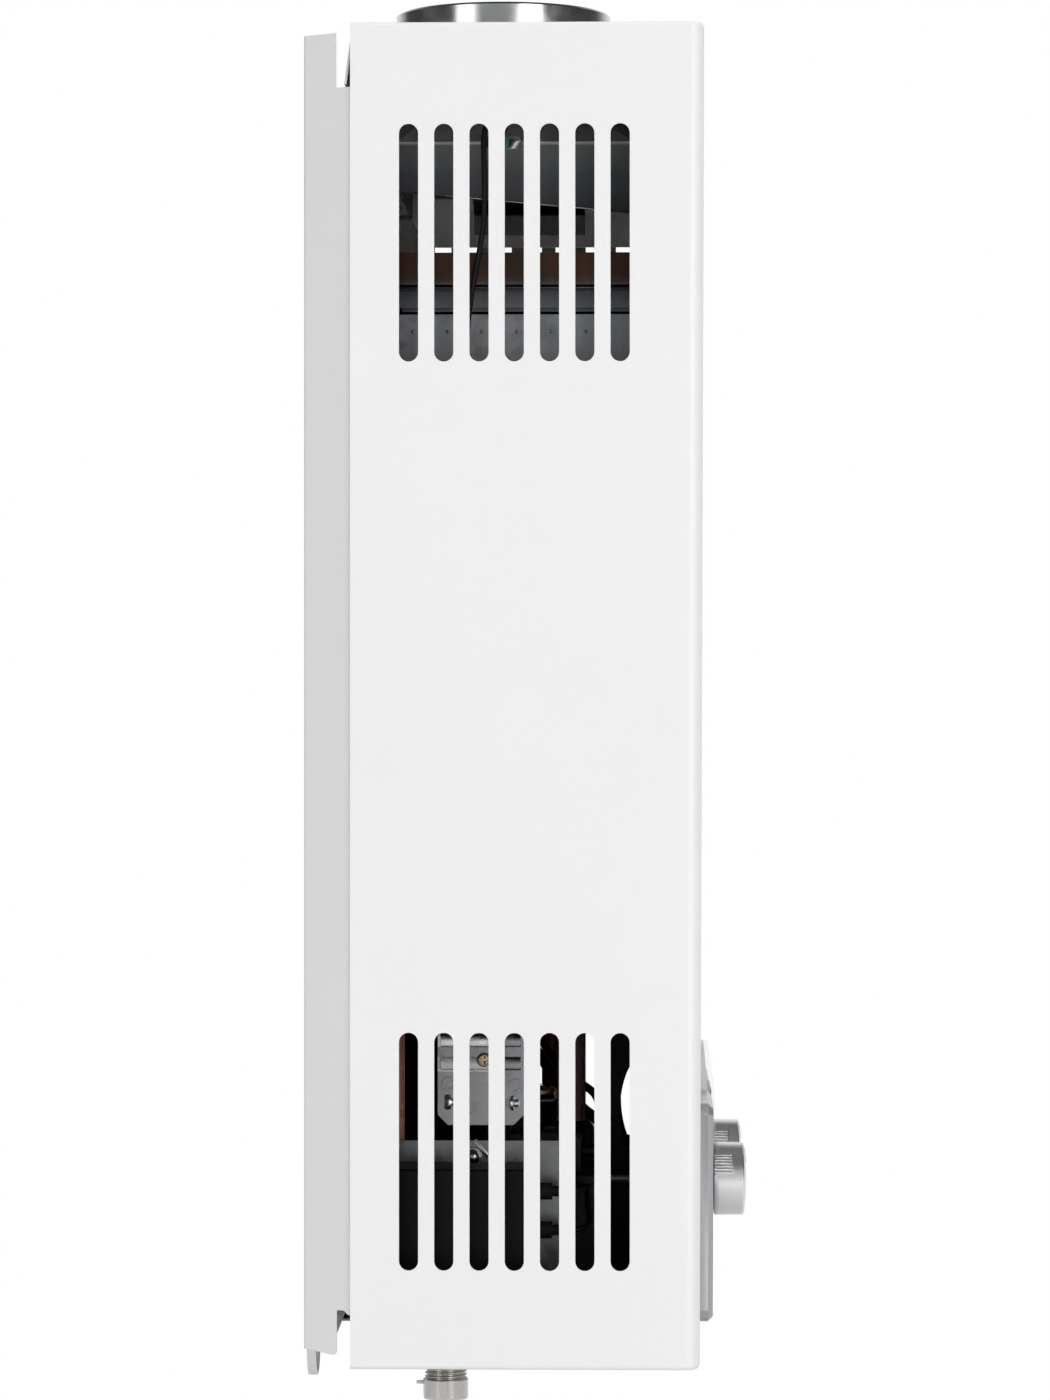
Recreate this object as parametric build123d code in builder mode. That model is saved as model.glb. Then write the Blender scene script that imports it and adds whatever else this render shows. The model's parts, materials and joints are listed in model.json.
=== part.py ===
from build123d import *
from math import radians, tan
import os

# Wall-hung propane water heater. Millimetres. x runs across the cabinet from its middle, y is 0 on the
# wall and falls towards the front, z is 0 at the lower edge of the cover.

# Cabinet
case_width = 380
case_height = 640
cover_rear = -33.0
cover_front_low = -199.0
cover_front_high = -201.2
cover_sheet = 1.0
cover_edge_radius = 7.0
cover_fold_radius = 2.5
half_width = case_width / 2

# Vent slots, the same in both sides of the cover
slot_width = 9.1
slot_length = 112.9
slot_pitch = 16.74
slots_in_row = 7
slot_row_middle = -111.0
upper_slots_height = 535.1
lower_slots_height = 103.6

# Rear panel and its two wall brackets
panel_back = -9.9
panel_sheet = 1.2
cover_screw_radius = 1.9
hanger_screw_radius = 1.9
panel_half = 174.0
flange_half = half_width - cover_sheet - 0.2
flange_front = -46.0
panel_top = 600.0
horn_top = 635.5
notch_low = 27.6
notch_high = 609.4
lip_front = -43.0
top_screw_places = ((-120, -38.6), (120, -38.6))
low_screw_places = ((-50, -53), (50, -53))
ear_sheet = 1.5
ear_radius = 18.0
ear_middle = -11.4
ear_hole_height = -15.0
ear_hole_radius = 3.5
keyhole_height = 630.0
keyhole_spacing = 44.0
keyhole_radius = 5.0

# Flue and hot gas path
flue_radius = 55.0
flue_middle = -100.0
flue_top = 669.5
flue_sheet = 0.8
cover_flue_hole = 59.0
collar_foot = 58.4
chamber_half = 130.0
chamber_rear = -52.5
chamber_front = -168.0
chamber_middle = (chamber_rear + chamber_front) / 2
chamber_depth = chamber_rear - chamber_front
chamber_low = 300.0
chamber_high = 505.9
chamber_sheet = 1.0
hood_low = 555.0
hood_rear_low = 566.0
hood_far_low = 563.3
hood_fold = 590.0
hood_neck = 624.0
exchanger_half = 127.0
exchanger_low = 500.0
exchanger_high = 536.3
band_low = 508.8
band_high = 517.4

# Water tubes
core_tube_radius = 7.0
core_tube_pitch = 22.0
core_tube_height = 525.6
shield_x = 149.0
shield_top = 534.0
core_tubes = 5
fin_count = 15
fin_sheet = 0.8
pipe_radius = 7.0
cold_pipe_radius = 6.35

# The cold water coil round the burning chamber
coil_gap = 3.5
coil_side = chamber_half + coil_gap + cold_pipe_radius

# Burner, and the two hangers that carry the valves below it
hanger_places = ((-77.6, 122.2), (-109.7, 121.7), (-80, 242), (-106, 242))
tray_low = 235.0
tray_sheet = 1.2
tray_ledge = 24.0
burner_foot = tray_low + tray_sheet
burner_count = 10
burner_pitch = 24.0
manifold_height = 250.0
manifold_middle = -184.0
riser_x = -24.0
riser_y = -135.3

# Gas and water valves share one axis across the cabinet, at the height of the knobs
valve_height = 78.7
valve_middle = -118.0
knob_spacing = 129.0
knob_x = knob_spacing / 2
knob_radius = 18.2
knob_back = -207.3
knob_front = -223.6
knob_crown = 1.3
ribs_in_grip = 7
rib_pitch = 5.0
rib_length = 9.0
stem_radius = 3.0
running_gap = 0.05
rod_radius = 3.0

# Connections below the cabinet, all G 1/2
thread_radius = 10.48
outlet_x = -85.0
outlet_y = -74.0
gas_inlet_x = 24.0
cold_inlet_x = 85.0
drain_x = 115.0
drain_top = 36.0
drain_stem_radius = 4.0
drain_slot = 22.0
inlet_y = -104.0
wire_radius = 1.3
sleeve_radius = 3.2
thin_loom_radius = 2.1
thick_loom_radius = 2.8
fitting_end = -26.5
thread_top = -2.0
thread_neck_radius = 9.5
rail_height = 12.0
rail_sheet = 1.2
fitting_slot = 30.0

# Battery box for two D cells
box_left = -168.0
box_right = -130.0
box_rear = -50.0
box_front = -120.0
box_low = 3.0
box_high = 93.0
box_wall = 1.6
boot_heights = (80.2, 61.4)
cell_radius = 16.6
cell_length = 60.5
door_hinge_y = -52.0
door_hinge_z = 0.9

# Igniter box, on the rear panel at the right
igniter_x = 150.0
igniter_middle = -72.0
igniter_low = 16.0
igniter_high = 150.0

# Overheat cut-out on the hood
cutout_y = -103.4
cutout_height = 589.6
cutout_out = 4.0

# Black housing of the display board, on the inside of the cover's front, open at the back
housing_back = -151.0
housing_width = 88.0
housing_height = 126.0
housing_middle = 93.0
housing_wall = 2.0

# Control bezel on the front of the cover
bezel_half = 125.0
bezel_low = 14.3
bezel_high = 120.9
bezel_depth = 7.0
window_half = 42.0
window_low = 60.0
window_high = 143.4

connection_slots = (
    (outlet_x, outlet_y, fitting_slot),
    (gas_inlet_x, inlet_y, fitting_slot),
    (cold_inlet_x, inlet_y, fitting_slot),
    (drain_x, inlet_y, drain_slot),
)
front_slope = (cover_front_low - cover_front_high) / case_height
front_face = Plane(origin=(0, cover_front_low, 0), x_dir=(1, 0, 0), z_dir=(0, -1, -front_slope))
plane_yz = Plane.YZ


def bent_sheet(points, sheet, bend=2.0):
    """Outline of a folded sheet, which lies on the left of the line through its points."""
    with BuildLine() as outline:
        FilletPolyline(*points, radius=bend)
        offset(amount=sheet, side=Side.LEFT)
    make_face(outline.edges())


def tube_along(points, radii, radius):
    """Solid round bar along straight runs joined by tangent arcs."""
    with BuildLine() as route:
        FilletPolyline(*points, radius=radii)
    with BuildSketch(Plane(route.line @ 0, z_dir=route.line % 0)) as section:
        Circle(radius)
    sweep(section.sketch, path=route.line)


def lead(points, radius):
    """Insulated wire: straight runs joined by the largest arcs that the runs leave room for."""
    radii = []
    for before, corner, after in zip(points, points[1:], points[2:]):
        arriving = Vector(*corner) - Vector(*before)
        leaving = Vector(*after) - Vector(*corner)
        turn = radians(arriving.get_angle(leaving))
        radii.append(0.45 * min(arriving.length, leaving.length) / tan(turn / 2))
    tube_along(points, radii, radius)


def pan_screw(head_radius, head_height, shank_radius, shank_length):
    """Pan head screw, head outwards along +z, seated on z = 0."""
    with BuildPart() as screw:
        with BuildSketch():
            Circle(head_radius)
        extrude(amount=head_height)
        fillet(screw.faces().sort_by(Axis.Z)[-1].edges(), head_height * 0.45)
        with BuildSketch():
            Circle(shank_radius)
        extrude(amount=-shank_length)
    return screw.part


# ---- casing -------------------------------------------------------------------------------------

with BuildPart() as front_cover:
    with BuildSketch(plane_yz):
        Polygon(
            (cover_rear, 0),
            (cover_rear, case_height),
            (cover_front_high, case_height),
            (cover_front_low, 0),
            align=None,
        )
    extrude(amount=half_width, both=True)
    front_edges = front_cover.faces().sort_by(Axis.Y)[0].edges()
    fillet(front_edges.filter_by(lambda e: abs(e.tangent_at(0.5).Z) > 0.9), cover_edge_radius)
    top_and_bottom = front_cover.faces().filter_by(Axis.Z)
    fillet(
        [edge for face in top_and_bottom for edge in face.edges() if edge.center().Y < cover_rear - 1],
        cover_fold_radius,
    )
    offset(amount=-cover_sheet, openings=front_cover.faces().sort_by(Axis.Y)[-1])
    with BuildSketch(plane_yz):
        for row_height in (lower_slots_height, upper_slots_height):
            with Locations((slot_row_middle, row_height)):
                with GridLocations(slot_pitch, 0, slots_in_row, 1):
                    SlotOverall(slot_length, slot_width, rotation=90)
    extrude(amount=half_width + 1, both=True, mode=Mode.SUBTRACT)
    with BuildSketch(Plane.XY.offset(case_height)):
        with Locations((0, flue_middle)):
            Circle(cover_flue_hole)
        with Locations(*top_screw_places):
            Circle(cover_screw_radius)
    extrude(amount=-5, mode=Mode.SUBTRACT)
    with BuildSketch(Plane.XY):
        with Locations(*low_screw_places):
            Circle(cover_screw_radius)
        for slot_x, slot_y, slot_across in connection_slots:
            with Locations((slot_x, slot_y)):
                Circle(slot_across / 2)
            with Locations((slot_x, (slot_y + cover_rear) / 2)):
                Rectangle(slot_across, cover_rear - slot_y)
        with Locations(((box_left + box_right) / 2, (box_rear + box_front) / 2)):
            RectangleRounded(box_right - box_left + 5, box_rear - box_front + 5, 3)
    extrude(amount=5, mode=Mode.SUBTRACT)
    with BuildSketch(front_face):
        with Locations((-knob_x, valve_height), (knob_x, valve_height)):
            Circle(7)
        with Locations((0, 108)):
            RectangleRounded(62, 40, 4)
    extrude(amount=-4, mode=Mode.SUBTRACT)

with BuildPart() as rear_panel:
    with BuildSketch(Plane.XY):
        bent_sheet(
            [
                (flange_half, flange_front),
                (flange_half, cover_rear),
                (panel_half, panel_back),
                (-panel_half, panel_back),
                (-flange_half, cover_rear),
                (-flange_half, flange_front),
            ],
            panel_sheet,
            2.4,
        )
    extrude(amount=horn_top + 1)
    with BuildSketch(plane_yz) as side_outline:
        with BuildLine():
            Polyline(
                (0, 7.8),
                (panel_back, 7.8),
                (-26.4, 5.9),
                (-26.4, notch_low),
                (-29.8, notch_low),
                (-31.8, notch_low - 1.8),
                (flange_front - 2, notch_low - 1.8),
                (flange_front - 2, notch_high),
                (-26.0, notch_high),
                (-26.0, horn_top),
                (panel_back, horn_top),
                (0, horn_top),
                close=True,
            )
        make_face()
        corners = side_outline.vertices()
        fillet(corners.sort_by_distance((-26.4, 5.9, 0))[0], 2.0)
        fillet(corners.sort_by_distance((-26.0, horn_top, 0))[0], 10.5)
    extrude(amount=half_width, both=True, mode=Mode.INTERSECT)
    with BuildSketch(Plane.XZ.offset(-panel_back - 3)):
        with Locations((0, panel_top + 50)):
            Rectangle(2 * panel_half - 6, 100)
    extrude(amount=6, mode=Mode.SUBTRACT)
    with BuildSketch(plane_yz):
        bent_sheet(
            [
                (panel_back, panel_top - 12),
                (panel_back, panel_top),
                (-29.6, notch_high - 0.8),
                (-33.9, case_height - cover_sheet),
                (lip_front, case_height - cover_sheet),
            ],
            panel_sheet,
        )
    extrude(amount=panel_half - 1, both=True)
    with BuildSketch(plane_yz):
        bent_sheet(
            [
                (-29.94, notch_high + 1.6),
                (-33.9, case_height - cover_sheet),
                (lip_front, case_height - cover_sheet),
            ],
            panel_sheet,
        )
    extrude(amount=flange_half - 2, both=True)
    for tab_x in (-50, 50):
        with BuildSketch(plane_yz.offset(tab_x)):
            bent_sheet(
                [
                    (-60, cover_sheet),
                    (-44, cover_sheet),
                    (-44, 34),
                    (panel_back - panel_sheet / 2, 34),
                ],
                panel_sheet,
            )
        extrude(amount=9, both=True)
    with BuildSketch(Plane.XY):
        with Locations(*low_screw_places):
            Circle(cover_screw_radius)
    extrude(amount=5, mode=Mode.SUBTRACT)
    with BuildSketch(Plane.XY.offset(case_height)):
        with Locations(*top_screw_places):
            Circle(cover_screw_radius)
        with Locations((0, flue_middle)):
            Circle(cover_flue_hole)
    extrude(amount=-5, mode=Mode.SUBTRACT)

with BuildPart() as upper_hanger:
    with BuildSketch(Plane.XZ):
        with Locations((0, 606)):
            RectangleRounded(76, 92, 9)
    extrude(amount=4.6)
    offset(amount=-ear_sheet, openings=upper_hanger.faces().sort_by(Axis.Y)[0])
    with BuildSketch(Plane.XZ):
        with GridLocations(keyhole_spacing, 0, 2, 1):
            with Locations((0, keyhole_height)):
                Circle(keyhole_radius)
            with Locations((0, keyhole_height + 6)):
                SlotOverall(12, 5, rotation=90)
    extrude(amount=4, mode=Mode.SUBTRACT)
    with BuildSketch(Plane.XZ.offset(4.6)):
        with GridLocations(76 - ear_sheet, 0, 2, 1):
            with Locations((0, 578)):
                Rectangle(ear_sheet, 24)
    extrude(amount=-panel_back - 4.6)

with BuildPart() as lower_ear:
    with BuildSketch(Plane.XZ):
        with BuildLine():
            Polyline((-ear_radius, ear_middle), (-ear_radius, 4), (-38, 10), (-38, 44), (38, 44), (38, 10))
            Polyline((38, 10), (ear_radius, 4), (ear_radius, ear_middle))
            RadiusArc((ear_radius, ear_middle), (-ear_radius, ear_middle), ear_radius)
        make_face()
    extrude(amount=4.6)
    offset(amount=-ear_sheet, openings=lower_ear.faces().sort_by(Axis.Y)[0])
    with BuildSketch(Plane.XZ):
        with Locations((0, ear_hole_height)):
            Circle(ear_hole_radius)
    extrude(amount=4, mode=Mode.SUBTRACT)
    with BuildSketch(Plane.XZ.offset(4.6)):
        with GridLocations(76 - ear_sheet, 0, 2, 1):
            with Locations((0, 24)):
                Rectangle(ear_sheet, 24)
    extrude(amount=-panel_back - 4.6)

cover_screw = pan_screw(4.0, 2.4, cover_screw_radius, 6)
with BuildPart() as cover_screws:
    for screw_x, screw_y in top_screw_places:
        with Locations((screw_x, screw_y, case_height)):
            add(cover_screw)
    for screw_x, screw_y in low_screw_places:
        with Locations(Location((screw_x, screw_y, 0), (180, 0, 0))):
            add(cover_screw)

# ---- flue and heat exchanger ----------------------------------------------------------------------

with BuildPart() as flue_collar:
    with BuildSketch(plane_yz):
        with BuildLine():
            Polyline(
                (flue_middle - flue_radius + flue_sheet, hood_neck + 0.2),
                (flue_middle - collar_foot, hood_neck + 0.2),
                (flue_middle - collar_foot, hood_neck + 0.2 + flue_sheet),
                (flue_middle - flue_radius, hood_neck + 0.2 + flue_sheet),
                (flue_middle - flue_radius, flue_top - 1),
                (flue_middle - flue_radius + 1.0, flue_top),
                (flue_middle - flue_radius + 3.0, flue_top),
                (flue_middle - flue_radius + 3.0, flue_top - 1.6),
                (flue_middle - flue_radius + flue_sheet, flue_top - 2.4),
                close=True,
            )
        make_face()
    revolve(axis=Axis((0, flue_middle, 0), (0, 0, 1)))

neck_radius = flue_radius - flue_sheet
with BuildPart() as exhaust_hood:
    with BuildSketch(Plane.XY.offset(hood_low)):
        with Locations((0, chamber_middle)):
            Rectangle(2 * chamber_half, chamber_depth)
    extrude(amount=hood_fold - hood_low)
    with BuildSketch(Plane.XY.offset(hood_fold)):
        with Locations((0, chamber_middle)):
            Rectangle(2 * chamber_half, chamber_depth)
    with BuildSketch(Plane.XY.offset(hood_neck)):
        with Locations((0, flue_middle)):
            Circle(neck_radius)
    loft()
    with BuildSketch(Plane.XY.offset(hood_neck)):
        with Locations((0, flue_middle)):
            Circle(neck_radius)
    extrude(amount=9)
    with BuildSketch(Plane.XY.offset(hood_low)):
        with Locations((0, chamber_middle)):
            Rectangle(2 * (chamber_half - flue_sheet), chamber_depth - 2 * flue_sheet)
    extrude(amount=hood_fold - hood_low, mode=Mode.SUBTRACT)
    with BuildSketch(Plane.XY.offset(hood_fold)):
        with Locations((0, chamber_middle)):
            Rectangle(2 * (chamber_half - flue_sheet), chamber_depth - 2 * flue_sheet)
    with BuildSketch(Plane.XY.offset(hood_neck)):
        with Locations((0, flue_middle)):
            Circle(neck_radius - flue_sheet)
    loft(mode=Mode.SUBTRACT)
    with BuildSketch(Plane.XY.offset(hood_neck)):
        with Locations((0, flue_middle)):
            Circle(neck_radius - flue_sheet)
    extrude(amount=9, mode=Mode.SUBTRACT)
    with BuildSketch(plane_yz.offset(-chamber_half)):
        Polygon(
            (chamber_rear, hood_low), (chamber_rear, hood_rear_low), (chamber_front, hood_low), align=None
        )
    extrude(amount=2 * chamber_half - 5, mode=Mode.SUBTRACT)
    with BuildSketch(plane_yz.offset(chamber_half - 5)):
        with Locations((chamber_middle + flue_sheet, (hood_low + hood_far_low) / 2)):
            Rectangle(chamber_depth, hood_far_low - hood_low)
    extrude(amount=5, mode=Mode.SUBTRACT)

with BuildPart() as flue_baffle:
    with BuildSketch(Plane.XZ.offset(-chamber_middle - 30)):
        baffle_end = chamber_half - flue_sheet - chamber_sheet
        bent_sheet(
            [
                (-baffle_end, 570),
                (-baffle_end, 582),
                (-72, 596),
                (72, 596),
                (baffle_end, 582),
                (baffle_end, 570),
            ],
            chamber_sheet,
            3.0,
        )
    extrude(amount=60)

with BuildPart() as exchanger_casing:
    with BuildSketch(Plane.XY.offset(exchanger_low)):
        with Locations((0, chamber_middle)):
            Rectangle(2 * exchanger_half, chamber_depth - 4)
            Rectangle(2 * exchanger_half - 2, chamber_depth - 6, mode=Mode.SUBTRACT)
    extrude(amount=exchanger_high - exchanger_low)
    with BuildSketch(Plane.XY.offset(exchanger_low)):
        with Locations((0, chamber_middle)):
            Rectangle(2 * (chamber_half - chamber_sheet), chamber_depth - 2 * chamber_sheet)
            Rectangle(2 * exchanger_half - 2, chamber_depth - 6, mode=Mode.SUBTRACT)
    extrude(amount=1)
    with BuildSketch(plane_yz):
        with Locations((chamber_middle, core_tube_height)):
            with GridLocations(core_tube_pitch, 0, core_tubes, 1):
                Circle(core_tube_radius + running_gap)
    extrude(amount=half_width, both=True, mode=Mode.SUBTRACT)

fin_pitch = 2 * (exchanger_half - 8) / (fin_count - 1)
with BuildPart() as exchanger_fins:
    with BuildSketch(plane_yz):
        with Locations((chamber_middle, 0)):
            with Locations((0, (exchanger_low + exchanger_high) / 2)):
                Rectangle(chamber_depth - 6.4, exchanger_high - exchanger_low - 6)
            with Locations((0, exchanger_high - 3)):
                with GridLocations(core_tube_pitch, 0, core_tubes - 1, 1):
                    Rectangle(5, 8, mode=Mode.SUBTRACT)
            with Locations((0, core_tube_height)):
                with GridLocations(core_tube_pitch, 0, core_tubes, 1):
                    Circle(core_tube_radius, mode=Mode.SUBTRACT)
    extrude(amount=fin_sheet)
fin = exchanger_fins.part
with BuildPart() as exchanger_fins:
    for index in range(fin_count):
        with Locations(((index - (fin_count - 1) / 2) * fin_pitch - fin_sheet / 2, 0, 0)):
            add(fin)

tube_rows = [chamber_middle + (2 - index) * core_tube_pitch for index in range(core_tubes)]
bend_start = exchanger_half + 3
with BuildPart() as exchanger_tubes:
    with BuildLine():
        Line((-bend_start, tube_rows[0], core_tube_height), (bend_start, tube_rows[0], core_tube_height))
        for index in range(1, core_tubes):
            direction = 1 if index % 2 else -1
            ThreePointArc(
                (direction * bend_start, tube_rows[index - 1], core_tube_height),
                (
                    direction * (bend_start + core_tube_pitch / 2),
                    (tube_rows[index - 1] + tube_rows[index]) / 2,
                    core_tube_height,
                ),
                (direction * bend_start, tube_rows[index], core_tube_height),
            )
            Line(
                (direction * bend_start, tube_rows[index], core_tube_height),
                (-direction * bend_start, tube_rows[index], core_tube_height),
            )
    with BuildSketch(Plane((-bend_start, tube_rows[0], core_tube_height), z_dir=(1, 0, 0))):
        Circle(core_tube_radius)
    sweep()

with BuildPart() as bend_shields:
    for side in (-1, 1):
        with BuildSketch(Plane.XZ.offset(-chamber_rear + 1.5)):
            with BuildLine():
                FilletPolyline(
                    (side * (exchanger_half + 0.2), band_high + fin_sheet),
                    (side * shield_x, band_high + fin_sheet),
                    (side * shield_x, shield_top),
                    radius=1.5,
                )
                offset(amount=fin_sheet, side=Side.LEFT if side < 0 else Side.RIGHT)
            make_face()
        extrude(amount=chamber_depth - 3)
    with BuildSketch(Plane.XY.offset(band_high)):
        with Locations((coil_side, tube_rows[-1])):
            Circle(cold_pipe_radius + 0.5)
    extrude(amount=fin_sheet, mode=Mode.SUBTRACT)

with BuildPart() as exchanger_frame:
    outer = (2 * chamber_half + 4, chamber_depth + 4)
    with BuildSketch(Plane.XY.offset(band_low)):
        with Locations((0, chamber_middle)):
            Rectangle(*outer)
            Rectangle(outer[0] - 2, outer[1] - 2, mode=Mode.SUBTRACT)
    extrude(amount=band_high - band_low)
    with BuildSketch(Plane.XY.offset(band_high - 1)):
        with Locations((0, chamber_middle)):
            Rectangle(*outer)
            Rectangle(2 * exchanger_half, chamber_depth - 4, mode=Mode.SUBTRACT)
    extrude(amount=1)
    with BuildSketch(plane_yz):
        with Locations((chamber_middle, core_tube_height)):
            with GridLocations(core_tube_pitch, 0, core_tubes, 1):
                Circle(core_tube_radius + 0.3)
    extrude(amount=half_width, both=True, mode=Mode.SUBTRACT)

with BuildPart() as chamber_jacket:
    with BuildSketch(Plane.XY.offset(chamber_low)):
        with Locations((0, chamber_middle)):
            Rectangle(2 * chamber_half, chamber_depth)
            Rectangle(
                2 * (chamber_half - chamber_sheet), chamber_depth - 2 * chamber_sheet, mode=Mode.SUBTRACT
            )
    extrude(amount=chamber_high - chamber_low)
    fillet(
        chamber_jacket.edges().filter_by(Axis.Z).group_by(lambda e: abs(e.center().X))[-1],
        0.9,
    )
    with BuildSketch(Plane.XZ.offset(-chamber_front)):
        with Locations((-20, chamber_low + 12), (20, chamber_low + 12), (60, chamber_low + 12)):
            Circle(2.3)
    extrude(amount=-5, mode=Mode.SUBTRACT)

coil_rear = chamber_rear + coil_gap + cold_pipe_radius
coil_front = chamber_front - coil_gap - cold_pipe_radius
coil_start = -124.0
last_row = tube_rows[-1]
with BuildPart() as chamber_coil:
    tube_along(
        [
            (coil_side, coil_start, 232),
            (coil_side, coil_start, 340),
            (coil_side, coil_rear, 346),
            (-coil_side, coil_rear, 358),
            (-coil_side, coil_front, 366),
            (coil_side, coil_front, 378),
            (coil_side, last_row, 388),
            (coil_side, last_row, core_tube_height),
            (bend_start, last_row, core_tube_height),
        ],
        [14, 14, 14, 14, 9, 9, 9],
        cold_pipe_radius,
    )

with BuildPart() as mount_brackets:
    for bracket_x in (-90, 90):
        for bracket_z, reach in ((576, chamber_rear), (460, chamber_rear), (262, chamber_rear)):
            with BuildSketch(plane_yz.offset(bracket_x)):
                bent_sheet(
                    [
                        (panel_back - panel_sheet, bracket_z - 14),
                        (panel_back - panel_sheet, bracket_z),
                        (reach, bracket_z),
                        (reach, bracket_z - 14),
                    ],
                    panel_sheet,
                )
            extrude(amount=8, both=True)

with BuildPart() as thermal_cutout:
    with BuildSketch(plane_yz.offset(-chamber_half)):
        with Locations((cutout_y, cutout_height)):
            Circle(3.6)
    extrude(amount=-cutout_out)
    fillet(thermal_cutout.faces().sort_by(Axis.X)[0].edges(), 0.6)
    with BuildSketch(plane_yz.offset(-chamber_half)):
        with Locations((cutout_y, cutout_height)):
            SlotOverall(20, 6.4)
    extrude(amount=-0.8)

# ---- burner -----------------------------------------------------------------------------------------

with BuildPart() as burner_frame:
    with BuildSketch(Plane.XY.offset(tray_low)):
        with Locations((0, chamber_middle)):
            Rectangle(2 * chamber_half, chamber_depth)
            Rectangle(
                2 * (chamber_half - tray_sheet), chamber_depth - 2 * tray_sheet, mode=Mode.SUBTRACT
            )
    extrude(amount=chamber_low - tray_low)
    with BuildSketch(Plane.XY.offset(tray_low)):
        with Locations((0, chamber_rear - tray_ledge / 2), (0, chamber_front + tray_ledge / 2)):
            Rectangle(2 * chamber_half, tray_ledge)
    extrude(amount=tray_sheet)
    with BuildSketch(Plane.XZ.offset(-chamber_front)):
        with Locations((0, manifold_height)):
            Rectangle((burner_count - 1) * burner_pitch + 16, 16)
    extrude(amount=-3, mode=Mode.SUBTRACT)
    with BuildSketch(plane_yz):
        with Locations(*hanger_places):
            Circle(hanger_screw_radius)
    extrude(amount=half_width, both=True, mode=Mode.SUBTRACT)

with BuildPart() as burner:
    with BuildSketch(plane_yz.offset(-4)):
        with BuildLine():
            Polyline(
                (chamber_rear - 6, 296),
                (chamber_front + 6, 296),
                (chamber_front + 6, 276),
                (-150, 262),
                (-150, burner_foot),
                (chamber_rear - 20, burner_foot),
                (chamber_rear - 6, 262),
                close=True,
            )
        make_face()
    extrude(amount=8)
    with BuildSketch(plane_yz.offset(-5.5)):
        with Locations((chamber_middle, 294)):
            Rectangle(chamber_depth - 12, 5)
    extrude(amount=11)
    with BuildSketch(Plane.XZ.offset(140)):
        with Locations((0, manifold_height)):
            Circle(7)
    extrude(amount=-chamber_front - 140 + 1)
    with BuildSketch(Plane.XZ.offset(-chamber_front + 1)):
        with Locations((0, manifold_height)):
            Circle(4.5)
    extrude(amount=-14, mode=Mode.SUBTRACT)
with BuildPart() as burners:
    with GridLocations(burner_pitch, 0, burner_count, 1):
        add(burner.part)

with BuildPart() as gas_manifold:
    with BuildSketch(plane_yz):
        with Locations((manifold_middle, manifold_height)):
            RectangleRounded(12, 15, 3)
    extrude(amount=122, both=True)
    with BuildSketch(Plane.XY.offset(manifold_height - 12)):
        with Locations((riser_x, manifold_middle)):
            Circle(8)
    extrude(amount=12)
    for side in (-1, 1):
        with BuildSketch(Plane.XY.offset(manifold_height - 7)):
            with Locations((side * 118.6, (manifold_middle + chamber_front) / 2)):
                Rectangle(tray_sheet, chamber_front - manifold_middle)
            with Locations((side * 124, chamber_front - tray_sheet / 2)):
                Rectangle(12, tray_sheet)
        extrude(amount=14)

with BuildPart() as gas_jets:
    with BuildSketch(Plane.XZ.offset(-manifold_middle - 6)):
        with Locations((0, manifold_height)):
            with GridLocations(burner_pitch, 0, burner_count, 1):
                Circle(3)
    extrude(amount=-5)

with BuildPart() as electrode_bracket:
    with BuildSketch(Plane.XZ.offset(-chamber_front)):
        with Locations((20, chamber_low + 13)):
            RectangleRounded(104, 16, 2)
        with Locations((-20, chamber_low + 12), (20, chamber_low + 12), (60, chamber_low + 12)):
            Circle(2.3, mode=Mode.SUBTRACT)
    extrude(amount=1.2)

with BuildPart() as electrodes:
    for electrode_x in (-20, 20, 60):
        with BuildSketch(Plane.XZ.offset(-chamber_front + 9)):
            with Locations((electrode_x, chamber_low + 12)):
                Circle(2.2)
        extrude(amount=-22)
        with BuildSketch(Plane.XZ.offset(-chamber_front + 13)):
            with Locations((electrode_x, chamber_low + 12)):
                Circle(0.9)
        extrude(amount=-52)

hanger_face = -chamber_half - 1.2
with BuildPart() as left_hanger:
    with BuildSketch(plane_yz.offset(-chamber_half)):
        with BuildLine():
            Polyline(
                (-72.0, 250),
                (-72.0, 116),
                (-77.0, 111),
                (-109.0, 111),
                (-114.0, 116),
                (-114.0, 250),
                close=True,
            )
        make_face()
        with Locations(*hanger_places):
            Circle(hanger_screw_radius, mode=Mode.SUBTRACT)
    extrude(amount=-1.2)
    for rib_height in (152.2, 141):
        with BuildSketch(Plane.XZ.offset(73.5)):
            with Locations((hanger_face, rib_height)):
                Ellipse(1.2, 3.2)
        extrude(amount=39)
    with BuildSketch(plane_yz.offset(hanger_face)):
        with Locations((-77.6, 131), (-109.7, 130)):
            Circle(3.6)
            Circle(2.2, mode=Mode.SUBTRACT)
    extrude(amount=-0.5)
    with BuildSketch(Plane.XY.offset(111)):
        with Locations((-105.6, -99)):
            Rectangle(51.2, 14)
    extrude(amount=1.2)
with BuildPart() as right_hanger:
    mirror(left_hanger.part, about=Plane.YZ)

side_screw = pan_screw(3.7, 2.3, hanger_screw_radius, 2.2)
with BuildPart() as hanger_screws:
    for screw_y, screw_z in hanger_places:
        with Locations(
            Location((hanger_face, screw_y, screw_z), (0, -90, 0)),
            Location((-hanger_face, screw_y, screw_z), (0, 90, 0)),
        ):
            add(side_screw)

# ---- gas and water train ------------------------------------------------------------------------------

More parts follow.
